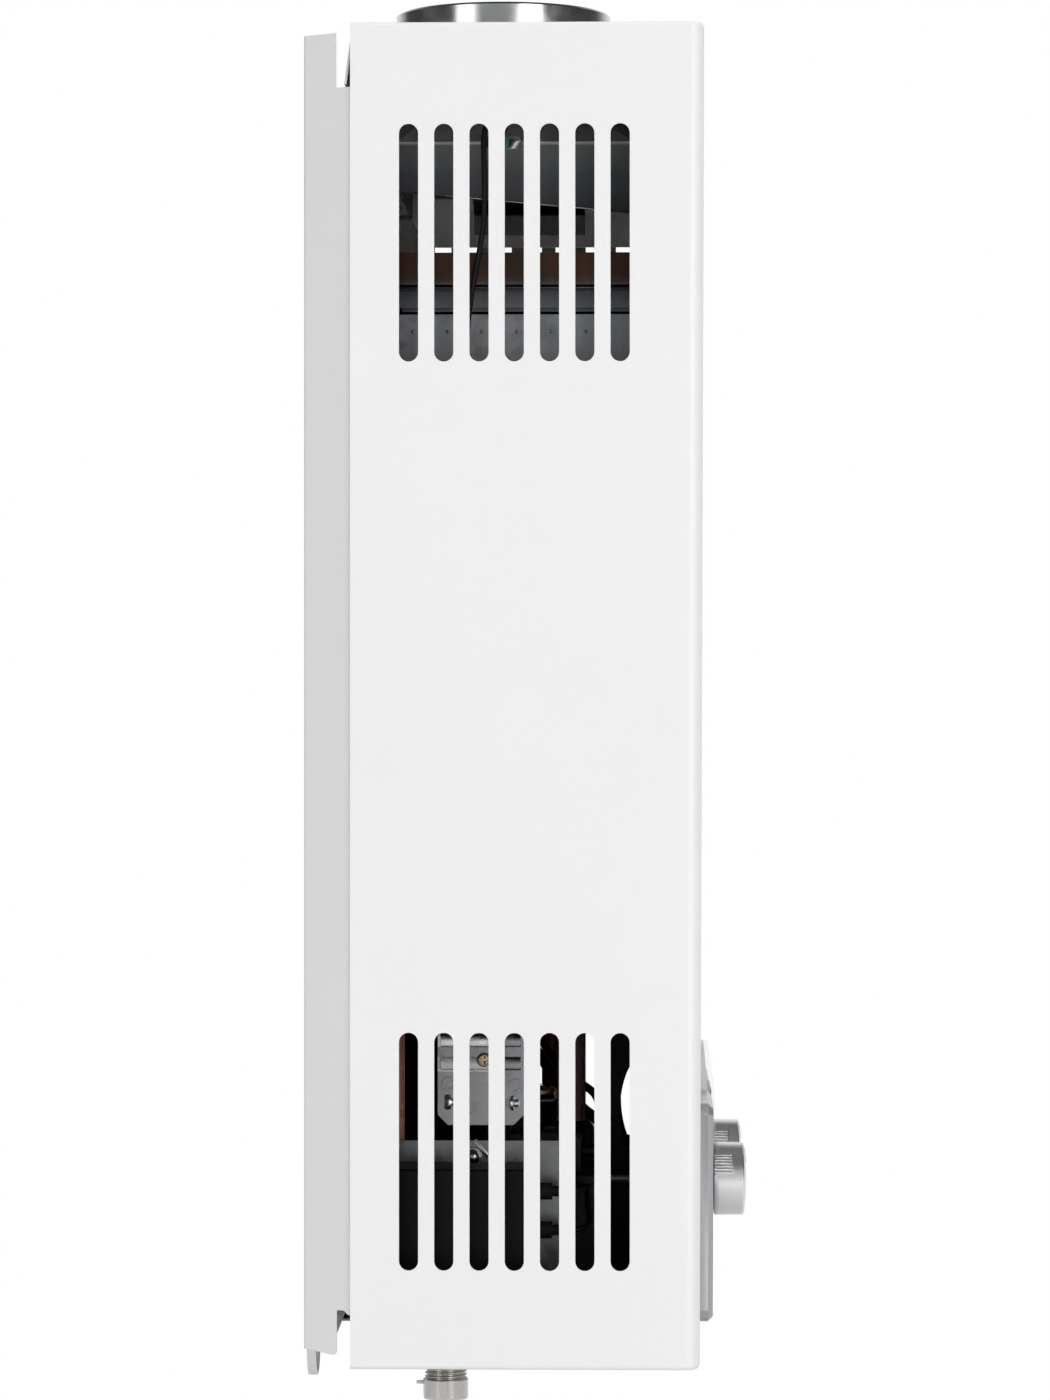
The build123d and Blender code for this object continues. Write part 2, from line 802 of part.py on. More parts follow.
valve_axis = Plane(origin=(0, valve_middle, valve_height), x_dir=(0, 1, 0), z_dir=(1, 0, 0))
knob_plane = Plane(origin=(0, valve_middle, valve_height), x_dir=(1, 0, 0), z_dir=(0, -1, 0))
stem_inner = 8.0
boss_front = 28.0
gas_head_front = 32.0
riser_foot = 104.0
gas_boss_top = 64.0
with BuildPart() as gas_valve_body:
    with BuildSketch(valve_axis.offset(-95)):
        Circle(20.5)
    extrude(amount=115)
    fillet(gas_valve_body.edges().filter_by(GeomType.CIRCLE), 2)
    with BuildSketch(valve_axis.offset(-76)):
        RectangleRounded(46, 46, 5)
    extrude(amount=30)
    with BuildSketch(Plane.XY.offset(40)):
        with Locations((gas_inlet_x, inlet_y)):
            Circle(12)
    extrude(amount=gas_boss_top - 40)
    with BuildSketch(Plane.XY.offset(valve_height)):
        with Locations((riser_x, riser_y)):
            Circle(7.2)
    extrude(amount=riser_foot - valve_height)
    with Locations((-66, valve_middle - gas_head_front / 2, 58)):
        Box(52, gas_head_front, 49)
    with BuildSketch(knob_plane.offset(23)):
        with Locations((-61, 92 - valve_height)):
            Circle(3.5)
    extrude(amount=gas_head_front - 23)
    with BuildSketch(Plane.XY.offset(valve_height)):
        with Locations((-86, -100)):
            Circle(6)
        with Locations((8, valve_middle)):
            Circle(6)
    extrude(amount=34.3 - 2)
    with BuildSketch(knob_plane):
        with Locations((-knob_x, 0)):
            Circle(9)
    extrude(amount=gas_head_front)
    with BuildSketch(knob_plane.offset(gas_head_front)):
        with Locations((-knob_x, 0)):
            Circle(stem_radius + running_gap)
    extrude(amount=stem_inner - gas_head_front, mode=Mode.SUBTRACT)
    with BuildSketch(valve_axis.offset(20)):
        Circle(rod_radius + running_gap)
    extrude(amount=-15, mode=Mode.SUBTRACT)

with BuildPart() as solenoid_valve:
    with BuildSketch(valve_axis.offset(-95)):
        Circle(13)
    extrude(amount=-22)
    with BuildSketch(valve_axis.offset(-117)):
        RegularPolygon(7, 6)
    extrude(amount=-5)

with BuildPart() as gas_riser:
    tube_along(
        [
            (riser_x, riser_y, riser_foot),
            (riser_x, riser_y, 182),
            (riser_x, manifold_middle, 208),
            (riser_x, manifold_middle, 238),
        ],
        [22, 22],
        7,
    )

with BuildPart() as water_valve_body:
    with BuildSketch(valve_axis.offset(50)):
        Circle(32)
    extrude(amount=6.5)
    with BuildSketch(valve_axis.offset(56.5)):
        Circle(15)
    extrude(amount=66)
    fillet(water_valve_body.edges().filter_by(GeomType.CIRCLE).group_by(Axis.X)[-1], 2)
    with BuildSketch(Plane.XY.offset(valve_height)):
        with Locations((cold_inlet_x, inlet_y)):
            Circle(13)
    extrude(amount=40 - valve_height)
    with BuildSketch(Plane.XY.offset(valve_height)):
        with Locations((112, coil_start)):
            Circle(10)
        with Locations((90, -100)):
            Circle(6)
    extrude(amount=32.3)
    with BuildSketch(Plane.XY.offset(valve_height)):
        with Locations((drain_x, inlet_y)):
            Circle(7)
    extrude(amount=drain_top - valve_height)
    with BuildSketch(Plane.XY.offset(drain_top)):
        with Locations((drain_x, inlet_y)):
            Circle(drain_stem_radius + running_gap)
    extrude(amount=12, mode=Mode.SUBTRACT)
    with BuildSketch(knob_plane):
        with Locations((knob_x + 1.5, 0)):
            Circle(7.5)
    extrude(amount=boss_front)
    with BuildSketch(knob_plane.offset(boss_front)):
        with Locations((knob_x, 0)):
            Circle(stem_radius + running_gap)
    extrude(amount=stem_inner - boss_front, mode=Mode.SUBTRACT)

with BuildPart() as diaphragm:
    with BuildSketch(valve_axis.offset(48.5)):
        Circle(32)
    extrude(amount=1.5)

with BuildPart() as diaphragm_cover:
    with BuildSketch(valve_axis.offset(38)):
        Circle(32)
    extrude(amount=10.5)
    fillet(diaphragm_cover.edges().filter_by(GeomType.CIRCLE).group_by(Axis.X)[0], 3)
    with BuildSketch(valve_axis.offset(42)):
        Circle(22)
    extrude(amount=6.5, mode=Mode.SUBTRACT)
    with BuildSketch(valve_axis.offset(38)):
        Circle(rod_radius + running_gap)
    extrude(amount=5, mode=Mode.SUBTRACT)

with BuildPart() as push_rod:
    with BuildSketch(valve_axis.offset(12)):
        Circle(rod_radius)
    extrude(amount=35)
    with BuildSketch(valve_axis.offset(46.7)):
        Circle(14)
    extrude(amount=1.5)
    with BuildSketch(valve_axis.offset(30)):
        Circle(6)
    extrude(amount=3)

lever_pivot = (29.3, valve_middle, 99.0)
with BuildPart() as switch_lever:
    with BuildSketch(Plane.XZ.offset(-valve_middle - 3)):
        with Locations((lever_pivot[0], 90.5)):
            Rectangle(0.8, 17)
    extrude(amount=6)
    with BuildSketch(Plane.XZ.offset(-valve_middle - 6)):
        with Locations((lever_pivot[0], lever_pivot[2])):
            Circle(1.0)
    extrude(amount=12)

with BuildPart() as micro_switch:
    with Locations((26.5, valve_middle, 107.0)):
        Box(19, 12, 11.4)
    with Locations((lever_pivot[0], valve_middle - 5, 99.6), (lever_pivot[0], valve_middle + 5, 99.6)):
        Box(5, 2, 4)
    with BuildSketch(Plane.XZ.offset(-valve_middle - 8)):
        with Locations((lever_pivot[0], lever_pivot[2])):
            Circle(1.0 + running_gap)
    extrude(amount=16, mode=Mode.SUBTRACT)

with BuildPart() as switch_bracket:
    with BuildSketch(Plane.XZ.offset(-valve_middle - 8)):
        bent_sheet([(2, 111), (12, 111), (14.5, 112.7), (38, 112.7)], rail_sheet)
    extrude(amount=16)

knob_places = {"flame": -knob_x, "water": knob_x}
stems = {}
knobs = {}
for knob_name, knob_place in knob_places.items():
    with BuildPart() as stem:
        with BuildSketch(knob_plane.offset(stem_inner + 1)):
            with Locations((knob_place, 0)):
                Circle(stem_radius)
        extrude(amount=-knob_front - 6 + valve_middle - stem_inner - 1)
    with BuildPart() as knob:
        with BuildSketch(plane_yz.offset(knob_place)):
            with BuildLine():
                rim = valve_height + knob_radius
                crown = TangentArc(
                    (knob_front, valve_height), (knob_front + knob_crown, rim - 0.9), tangent=(0, 1)
                )
                Polyline(
                    crown @ 1,
                    (knob_front + knob_crown + 0.8, rim - 0.2),
                    (knob_back - 0.8, rim),
                    (knob_back, rim - 0.5),
                    (knob_back, valve_height),
                    (knob_front, valve_height),
                )
            make_face()
        revolve(axis=Axis((knob_place, 0, valve_height), (0, 1, 0)))
        with BuildSketch(Plane.XZ.offset(-knob_back)):
            with Locations((knob_place, valve_height)):
                Circle(knob_radius - 2.0)
                Circle(5.5, mode=Mode.SUBTRACT)
        extrude(amount=10, mode=Mode.SUBTRACT)
        with BuildSketch(Plane.XZ.offset(-knob_back)):
            with Locations((knob_place, valve_height)):
                for grip_angle in (30, 150):
                    first_rib = grip_angle - rib_pitch * (ribs_in_grip - 1) / 2
                    with PolarLocations(
                        knob_radius - 0.2, ribs_in_grip, first_rib, rib_pitch * ribs_in_grip
                    ):
                        Circle(0.5)
        extrude(amount=rib_length)
        with BuildSketch(Plane.XZ.offset(-knob_back)):
            with Locations((knob_place, valve_height)):
                Circle(stem_radius)
        extrude(amount=-knob_front - 6 + knob_back, mode=Mode.SUBTRACT)
    stems[knob_name] = stem
    knobs[knob_name] = knob

with BuildPart() as hot_pipe:
    tube_along(
        [
            (-bend_start, tube_rows[0], core_tube_height),
            (-141, tube_rows[0], core_tube_height),
            (-141, -24, core_tube_height),
            (-141, -24, 250),
            (-112, -48, 200),
            (-112, -48, 94),
            (outlet_x, outlet_y, 66),
            (outlet_x, outlet_y, 38),
        ],
        [10, 14, 40, 20, 14, 16],
        pipe_radius,
    )

with BuildPart() as hot_outlet_fitting:
    with BuildSketch(Plane.XY.offset(fitting_end)):
        with Locations((outlet_x, outlet_y)):
            Circle(thread_radius)
    extrude(amount=thread_top - fitting_end)
    with BuildSketch(Plane.XY.offset(rail_height + rail_sheet)):
        with Locations((outlet_x, outlet_y)):
            RegularPolygon(15, 6)
    extrude(amount=9)
    with BuildSketch(Plane.XY.offset(thread_top)):
        with Locations((outlet_x, outlet_y)):
            Circle(thread_neck_radius)
    extrude(amount=38 - thread_top)
    with BuildSketch(Plane.XY.offset(fitting_end)):
        with Locations((outlet_x, outlet_y)):
            Circle(7.5)
    extrude(amount=40, mode=Mode.SUBTRACT)

with BuildPart() as outlet_cap:
    with BuildSketch(Plane.XY.offset(-29)):
        with Locations((outlet_x, outlet_y)):
            Circle(11.3)
    extrude(amount=10)
    fillet(outlet_cap.edges().sort_by(Axis.Z)[0], 0.8)
    with BuildSketch(Plane.XY.offset(-21.6)):
        with Locations((outlet_x, outlet_y + 11.4)):
            SlotOverall(6.5, 4, rotation=90)
    extrude(amount=1.6)
    with BuildSketch(Plane.XY.offset(-27.8)):
        with Locations((outlet_x, outlet_y)):
            Circle(thread_radius + 0.1)
    extrude(amount=10, mode=Mode.SUBTRACT)


def inlet_fitting(inlet_x, bore_radius):
    """Male G 1/2 fitting with a hexagon, from the thread's end up into the valve boss."""
    with BuildPart() as fitting:
        with BuildSketch(Plane.XY.offset(fitting_end)):
            with Locations((inlet_x, inlet_y)):
                Circle(thread_radius)
        extrude(amount=thread_top - fitting_end)
        with BuildSketch(Plane.XY.offset(thread_top)):
            with Locations((inlet_x, inlet_y)):
                Circle(thread_neck_radius)
        extrude(amount=40 - thread_top)
        with BuildSketch(Plane.XY.offset(rail_height + rail_sheet)):
            with Locations((inlet_x, inlet_y)):
                RegularPolygon(15, 6)
        extrude(amount=10)
        with BuildSketch(Plane.XY.offset(fitting_end)):
            with Locations((inlet_x, inlet_y)):
                Circle(bore_radius)
        extrude(amount=50, mode=Mode.SUBTRACT)
    return fitting


gas_inlet_fitting = inlet_fitting(gas_inlet_x, 5.5)
cold_inlet_fitting = inlet_fitting(cold_inlet_x, 7.5)

connection_places = ((outlet_x, outlet_y), (gas_inlet_x, inlet_y), (cold_inlet_x, inlet_y))
with BuildPart() as fitting_rail:
    with BuildSketch(plane_yz.offset(-105)):
        bent_sheet(
            [
                (-124, rail_height),
                (panel_back - panel_sheet, rail_height),
                (panel_back - panel_sheet, 33),
            ],
            rail_sheet,
        )
    extrude(amount=235)
    with BuildSketch(Plane.XY.offset(rail_height - 1)):
        with Locations(*connection_places):
            Circle(thread_neck_radius + running_gap)
        with Locations((drain_x, inlet_y)):
            Circle(6)
        with Locations((-50, -44), (50, -44)):
            Rectangle(24, 8)
    extrude(amount=5, mode=Mode.SUBTRACT)

with BuildPart() as lock_nuts:
    with BuildSketch(Plane.XY.offset(rail_height - 4.5)):
        with Locations(*connection_places):
            RegularPolygon(14.5, 6)
            Circle(thread_neck_radius, mode=Mode.SUBTRACT)
    extrude(amount=4.5)

with BuildPart() as drain_plug:
    with BuildSketch(Plane.XY.offset(-7)):
        with Locations((drain_x, inlet_y)):
            Circle(8.5)
            with PolarLocations(8.5, 12):
                Circle(0.9, mode=Mode.SUBTRACT)
    extrude(amount=14)
    chamfer(drain_plug.faces().sort_by(Axis.Z)[0].edges(), 0.5)
    with BuildSketch(Plane.XY.offset(7)):
        with Locations((drain_x, inlet_y)):
            Circle(5)
    extrude(amount=drain_top - 0.3 - 7)
    with BuildSketch(Plane.XY.offset(drain_top - 0.3)):
        with Locations((drain_x, inlet_y)):
            Circle(drain_stem_radius)
    extrude(amount=10)

with BuildPart() as cold_pipe:
    tube_along(
        [
            (112, coil_start, 111),
            (112, coil_start, 146),
            (coil_side, coil_start, 186),
            (coil_side, coil_start, 232),
        ],
        [16, 20],
        cold_pipe_radius,
    )

# ---- battery box and electrical parts ------------------------------------------------------------------

box_x = (box_left + box_right) / 2
box_y = (box_rear + box_front) / 2
with BuildPart() as battery_box:
    with BuildSketch(Plane.XY.offset(box_low)):
        with Locations((box_x, box_y)):
            RectangleRounded(box_right - box_left, box_rear - box_front, 3)
    extrude(amount=box_high - box_low)
    fillet(battery_box.faces().sort_by(Axis.Z)[-1].edges(), 1.2)
    with BuildSketch(Plane.XY.offset(box_low)):
        with Locations((box_x, box_y)):
            Rectangle(box_right - box_left - 2 * box_wall, box_rear - box_front - 2 * box_wall)
    extrude(amount=73, mode=Mode.SUBTRACT)
    with Locations((box_x - 12, door_hinge_y + 0.5, 3), (box_x + 12, door_hinge_y + 0.5, 3)):
        Box(4, 5.2, 8)
    with BuildSketch(plane_yz):
        with Locations((door_hinge_y, door_hinge_z)):
            Circle(1.25 + running_gap)
    extrude(amount=-half_width, mode=Mode.SUBTRACT)

with BuildPart() as battery_door:
    with BuildSketch(Plane.XY.offset(0.2)):
        with Locations((box_x, (box_front + 1 + door_hinge_y - 3.5) / 2)):
            Rectangle(box_right - box_left - 3, door_hinge_y - 3.5 - box_front - 1)
    extrude(amount=2.4)
    with BuildSketch(plane_yz.offset(box_x - 9)):
        with Locations((door_hinge_y - 2, door_hinge_z)):
            Rectangle(6, 2.2)
        with Locations((door_hinge_y, door_hinge_z)):
            Circle(1.7)
    extrude(amount=18)
    with BuildSketch(plane_yz.offset(box_x - 15)):
        with Locations((door_hinge_y, door_hinge_z)):
            Circle(1.25)
    extrude(amount=30)

with BuildPart() as battery_cells:
    with BuildSketch(Plane.XY.offset(box_low + 1.5)):
        with Locations((box_x, box_y)):
            with GridLocations(0, 2 * cell_radius + 0.2, 1, 2):
                Circle(cell_radius)
    extrude(amount=cell_length)
    fillet(battery_cells.edges().filter_by(GeomType.CIRCLE), 1)
    with BuildSketch(Plane.XY.offset(box_low + 1.5 + cell_length)):
        with Locations((box_x, box_y)):
            with GridLocations(0, 2 * cell_radius + 0.2, 1, 2):
                Circle(4.7)
    extrude(amount=1.5)

with BuildPart() as battery_contacts:
    with BuildSketch(Plane.XY.offset(box_low + 3 + cell_length)):
        with Locations((box_x, box_y)):
            with GridLocations(0, 2 * cell_radius + 0.2, 1, 2):
                Circle(7)
    extrude(amount=73 - 3 - cell_length, taper=10)

with BuildPart() as battery_bracket:
    with BuildSketch(Plane.XY.offset(5)):
        bent_sheet(
            [
                (-108, panel_back - panel_sheet),
                (box_right, panel_back - panel_sheet),
                (box_right, -131),
            ],
            panel_sheet,
            2.0,
        )
    extrude(amount=98.4)
    with BuildSketch(plane_yz):
        Polygon((-16, -8), (-34, 37), (-44, 37), (-44, -8), align=None)
    extrude(amount=-half_width, mode=Mode.SUBTRACT)

with BuildPart() as battery_boots:
    for boot_height in boot_heights:
        with BuildSketch(Plane.XZ.offset(-box_front)):
            with Locations((box_x + 6, boot_height)):
                Circle(4.1)
        extrude(amount=8)
        with BuildSketch(Plane.XZ.offset(-box_front + 8)):
            with Locations((box_x + 6, boot_height)):
                Circle(2.6)
        extrude(amount=4)

with BuildPart() as igniter_box:
    with BuildSketch(Plane.XY.offset(igniter_low)):
        with Locations((igniter_x, igniter_middle)):
            RectangleRounded(30, 78, 3)
    extrude(amount=igniter_high - igniter_low)
    fillet(igniter_box.faces().sort_by(Axis.Z)[-1].edges(), 2)
    with BuildSketch(Plane.XY.offset(igniter_low)):
        with Locations((igniter_x, (panel_back - panel_sheet - 34) / 2)):
            Rectangle(18, 34 + panel_back - panel_sheet)
    extrude(amount=70)

electrode_end = chamber_front - 13
electrode_height = chamber_low + 12
board_back = -182.2
with BuildPart() as leads:
    # from the overheat cut-out, down the left side and across to the igniter
    lead(
        [
            (-chamber_half - cutout_out, cutout_y, cutout_height),
            (-144, cutout_y, cutout_height),
            (-152, -107, 598),
            (-152, -100, 605),
            (-152, -95, 592),
            (-152, -96, 549),
            (-152, -88.2, 510),
            (-151, -84, 450),
            (-149, -83, 380),
            (-149, -80, 310),
            (-149, -60, 250),
            (-130, -57, 218),
            (-90, -57.5, 212),
            (-30, -56, 210),
            (30, -57, 210),
            (90, -58, 207),
            (136, -63, 200),
            (igniter_x, -66, 180),
            (igniter_x, -66, igniter_high),
        ],
        wire_radius,
    )
    # from the right-hand electrode, round the front of the cold pipe
    lead(
        [
            (60, electrode_end, electrode_height),
            (60, -190, electrode_height),
            (60, -194.2, 294),
            (60, -194.2, 262),
            (62, -194.2, 232),
            (70, -190, 214),
            (110, -168, 200),
            (igniter_x + 2, -142, 190),
            (igniter_x + 2, -104, 176),
            (igniter_x + 2, -104, igniter_high),
        ],
        sleeve_radius,
    )
    # two looms from the display board
    lead(
        [
            (8, board_back, 88),
            (8, -158, 88),
            (8, -147, 115.2),
            (8, -141, 119.4),
            (14, -128, 129),
            (60, -98, 168),
            (104, -62, 184),
            (140, -62, 176),
            (146, -84, 170),
            (146, -84, igniter_high),
        ],
        thin_loom_radius,
    )
    lead(
        [
            (18, board_back, 90),
            (18, -158, 90),
            (18, -147, 101.5),
            (18, -141, 106),
            (20, -128, 119),
            (66, -100, 156),
            (104, -66, 174),
            (138, -66, 168),
            (143, -92, 164),
            (143, -92, igniter_high),
        ],
        thick_loom_radius,
    )
    for boot_height, wire_end in zip(boot_heights, (-108, -100)):
        lead(
            [
                (box_x + 6, box_front - 12, boot_height),
                (box_x + 6, box_front - 22, boot_height),
                (box_x + 18, box_front - 26, boot_height + 2),
                (wire_end - 4, box_front - 24, valve_height),
                (wire_end, box_front - 20, valve_height),
                (wire_end, valve_middle - 13, valve_height),
            ],
            wire_radius,
        )

# ---- control panel ---------------------------------------------------------------------------------------

with BuildPart() as control_bezel:
    with BuildSketch(front_face):
        with Locations((0, (bezel_low + bezel_high) / 2)):
            RectangleRounded(2 * bezel_half, bezel_high - bezel_low, 6)
    extrude(amount=bezel_depth)
    chamfer(control_bezel.faces().sort_by(Axis.Y)[0].edges(), 2.4)
    with BuildSketch(front_face):
        with Locations((0, (bezel_low + bezel_high) / 2)):
            RectangleRounded(2 * bezel_half - 5, bezel_high - bezel_low - 5, 3.5)
    extrude(amount=bezel_depth - 2.6, mode=Mode.SUBTRACT)
    with BuildSketch(front_face):
        with Locations((-knob_x, valve_height), (knob_x, valve_height)):
            Circle(7)
        with Locations((0, (window_low + bezel_high) / 2)):
            Rectangle(2 * window_half, bezel_high - window_low + 20)
    extrude(amount=bezel_depth + 2, mode=Mode.SUBTRACT)

arch_radius = window_half
with BuildPart() as display_window:
    with BuildSketch(front_face):
        with Locations((0, window_high - arch_radius)):
            Circle(arch_radius - 0.1)
        with Locations((0, (window_low + window_high - arch_radius) / 2)):
            Rectangle(2 * arch_radius - 0.2, window_high - arch_radius - window_low - 0.2)
    extrude(amount=12)
    with BuildSketch(plane_yz):
        with BuildLine():
            Polyline(
                (-204.6, window_high),
                (-196, window_high),
                (-196, window_low),
                (-208.6, window_low),
                (-208.6, bezel_high - 12),
            )
            ThreePointArc((-208.6, bezel_high - 12), (-207.2, 128), (-204.6, window_high))
        make_face()
    extrude(amount=half_width, both=True, mode=Mode.INTERSECT)

with BuildPart() as display_board:
    with BuildSketch(Plane.XZ.offset(-housing_back)):
        with Locations((0, housing_middle)):
            Rectangle(housing_width, housing_height)
            Rectangle(
                housing_width - 2 * housing_wall, housing_height - 2 * housing_wall, mode=Mode.SUBTRACT
            )
    extrude(amount=50)
    with BuildSketch(plane_yz):
        with Locations((-174.3, 110)):
            Ellipse(14, 30)
    extrude(amount=half_width, both=True, mode=Mode.SUBTRACT)
    with BuildSketch(front_face.offset(-cover_sheet)):
        with Locations((0, housing_middle)):
            Rectangle(housing_width + 10, housing_height + 10)
    extrude(amount=10, mode=Mode.SUBTRACT)
    with BuildSketch(front_face.offset(-17)):
        with Locations((0, 108)):
            RectangleRounded(housing_width - 2 * housing_wall, 52, 2)
    extrude(amount=1.6)
    with BuildSketch(front_face.offset(-15.4)):
        with Locations((0, 108)):
            RectangleRounded(58, 36, 2)
    extrude(amount=15.4)

# ---- write one file per piece -------------------------------------------------------------------------------

pieces = {
    "front_cover": front_cover,
    "rear_panel": rear_panel,
    "upper_hanger": upper_hanger,
    "lower_ear": lower_ear,
    "cover_screws": cover_screws,
    "flue_collar": flue_collar,
    "exhaust_hood": exhaust_hood,
    "flue_baffle": flue_baffle,
    "exchanger_casing": exchanger_casing,
    "exchanger_fins": exchanger_fins,
    "exchanger_tubes": exchanger_tubes,
    "bend_shields": bend_shields,
    "exchanger_frame": exchanger_frame,
    "chamber_jacket": chamber_jacket,
    "chamber_coil": chamber_coil,
    "mount_brackets": mount_brackets,
    "thermal_cutout": thermal_cutout,
    "burner_frame": burner_frame,
    "burners": burners,
    "gas_manifold": gas_manifold,
    "gas_jets": gas_jets,
    "electrode_bracket": electrode_bracket,
    "electrodes": electrodes,
    "left_hanger": left_hanger,
    "right_hanger": right_hanger,
    "hanger_screws": hanger_screws,
    "gas_valve_body": gas_valve_body,
    "solenoid_valve": solenoid_valve,
    "gas_riser": gas_riser,
    "water_valve_body": water_valve_body,
    "diaphragm": diaphragm,
    "diaphragm_cover": diaphragm_cover,
    "push_rod": push_rod,
    "switch_lever": switch_lever,
    "micro_switch": micro_switch,
    "switch_bracket": switch_bracket,
    "flame_knob": knobs["flame"],
    "flame_stem": stems["flame"],
    "water_knob": knobs["water"],
    "water_stem": stems["water"],
    "hot_pipe": hot_pipe,
    "cold_pipe": cold_pipe,
    "hot_outlet_fitting": hot_outlet_fitting,
    "outlet_cap": outlet_cap,
    "drain_plug": drain_plug,
    "gas_inlet_fitting": gas_inlet_fitting,
    "cold_inlet_fitting": cold_inlet_fitting,
    "fitting_rail": fitting_rail,
    "lock_nuts": lock_nuts,
    "battery_box": battery_box,
    "battery_door": battery_door,
    "battery_cells": battery_cells,
    "battery_contacts": battery_contacts,
    "battery_bracket": battery_bracket,
    "battery_boots": battery_boots,
    "igniter_box": igniter_box,
    "leads": leads,
    "control_bezel": control_bezel,
    "display_window": display_window,
    "display_board": display_board,
}
os.makedirs("parts", exist_ok=True)
for node, piece in pieces.items():
    piece.part.label = node
    export_step(piece.part, f"parts/{node}.step")
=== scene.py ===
import json
from math import atan2, cos, pi, radians, sin

import bpy
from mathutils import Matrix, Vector


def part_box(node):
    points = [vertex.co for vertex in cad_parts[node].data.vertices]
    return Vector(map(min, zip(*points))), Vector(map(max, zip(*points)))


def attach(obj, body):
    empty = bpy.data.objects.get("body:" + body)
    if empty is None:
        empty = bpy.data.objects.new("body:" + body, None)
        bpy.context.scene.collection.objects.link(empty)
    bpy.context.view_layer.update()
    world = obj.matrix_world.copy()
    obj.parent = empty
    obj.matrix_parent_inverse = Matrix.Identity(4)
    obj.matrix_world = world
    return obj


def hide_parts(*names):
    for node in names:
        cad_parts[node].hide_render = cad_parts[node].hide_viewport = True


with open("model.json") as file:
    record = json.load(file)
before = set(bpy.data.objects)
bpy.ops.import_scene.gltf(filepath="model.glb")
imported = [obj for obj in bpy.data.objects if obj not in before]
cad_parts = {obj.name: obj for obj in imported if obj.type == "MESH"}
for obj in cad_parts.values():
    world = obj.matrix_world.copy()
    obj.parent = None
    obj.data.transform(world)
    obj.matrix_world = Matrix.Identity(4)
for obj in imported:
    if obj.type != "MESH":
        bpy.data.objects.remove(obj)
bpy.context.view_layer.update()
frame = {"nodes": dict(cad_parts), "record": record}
nodes = frame["nodes"]
print("frame loaded,", len(nodes), "nodes")


# camera and lamps

camera = {
    "place": (-2.425, -0.1744, 0.318),
    "target": (-0.190, -0.1161, 0.318),
    "sensor": 36.0,
    "lens": 121.2,
    "clipEnd": 50.0,
}


def addCamera():
    data = bpy.data.cameras.new("camera")
    data.sensor_width = camera["sensor"]
    data.lens = camera["lens"]
    data.clip_end = camera["clipEnd"]
    item = bpy.data.objects.new("camera", data)
    bpy.context.scene.collection.objects.link(item)
    item.location = camera["place"]
    aim = Vector(camera["target"]) - Vector(camera["place"])
    item.rotation_euler = aim.to_track_quat("-Z", "Y").to_euler()
    bpy.context.scene.camera = item


addCamera()

studio = {
    "floorHeight": -0.42,
    "floorSize": 30.0,
    "floorShade": 0.86,
    "floorRough": 0.9,
    "floorFade": (0.25, 1.6),     # from the middle, where the floor turns into bright paper
    "daylight": 0.42,
    "roomGlow": 0.05,             # what metal mirrors of the unlit parts of the room
    "wallGlow": 0.31,             # of the pale wall behind the camera
    "paperGlow": 1.0,             # and of the white paper behind the heater
    "paperEdge": (0.55, 0.85),    # directions in x and z, from where each starts to where it is full
    "wallEdge": (-0.80, -0.96),
    "groundEdge": (0.06, -0.06),
    "lamps": {
        # name: (place, aim, width, height, watts)
        "keyLamp": ((-2.25, -1.45, 0.62), (-0.1, -0.1, 0.4), 1.1, 2.0, 26.2),
        "fillLamp": ((-1.95, 1.45, 0.62), (-0.1, -0.1, 0.4), 0.9, 2.0, 13.6),
        "topLamp": ((-0.2, -0.5, 2.3), (0.0, -0.1, 0.3), 1.4, 1.4, 16.0),
    },
    "unmirrored": ("topLamp",),   # polished metal shows a dark ceiling
}


def addLamp(name, place, aim, width, height, watts):
    data = bpy.data.lights.new(name, "AREA")
    data.shape = "RECTANGLE"
    data.size = width
    data.size_y = height
    data.energy = watts
    item = bpy.data.objects.new(name, data)
    item.location = place
    item.rotation_euler = (Vector(aim) - Vector(place)).to_track_quat("-Z", "Y").to_euler()
    bpy.context.scene.collection.objects.link(item)


for name, facts in studio["lamps"].items():
    addLamp(name, *facts)
for name in studio["unmirrored"]:
    bpy.data.objects[name].visible_glossy = False
bpy.context.scene.view_settings.view_transform = "Standard"


# shader maths: a Wire is one socket of a material, and + - * > on it add Math nodes

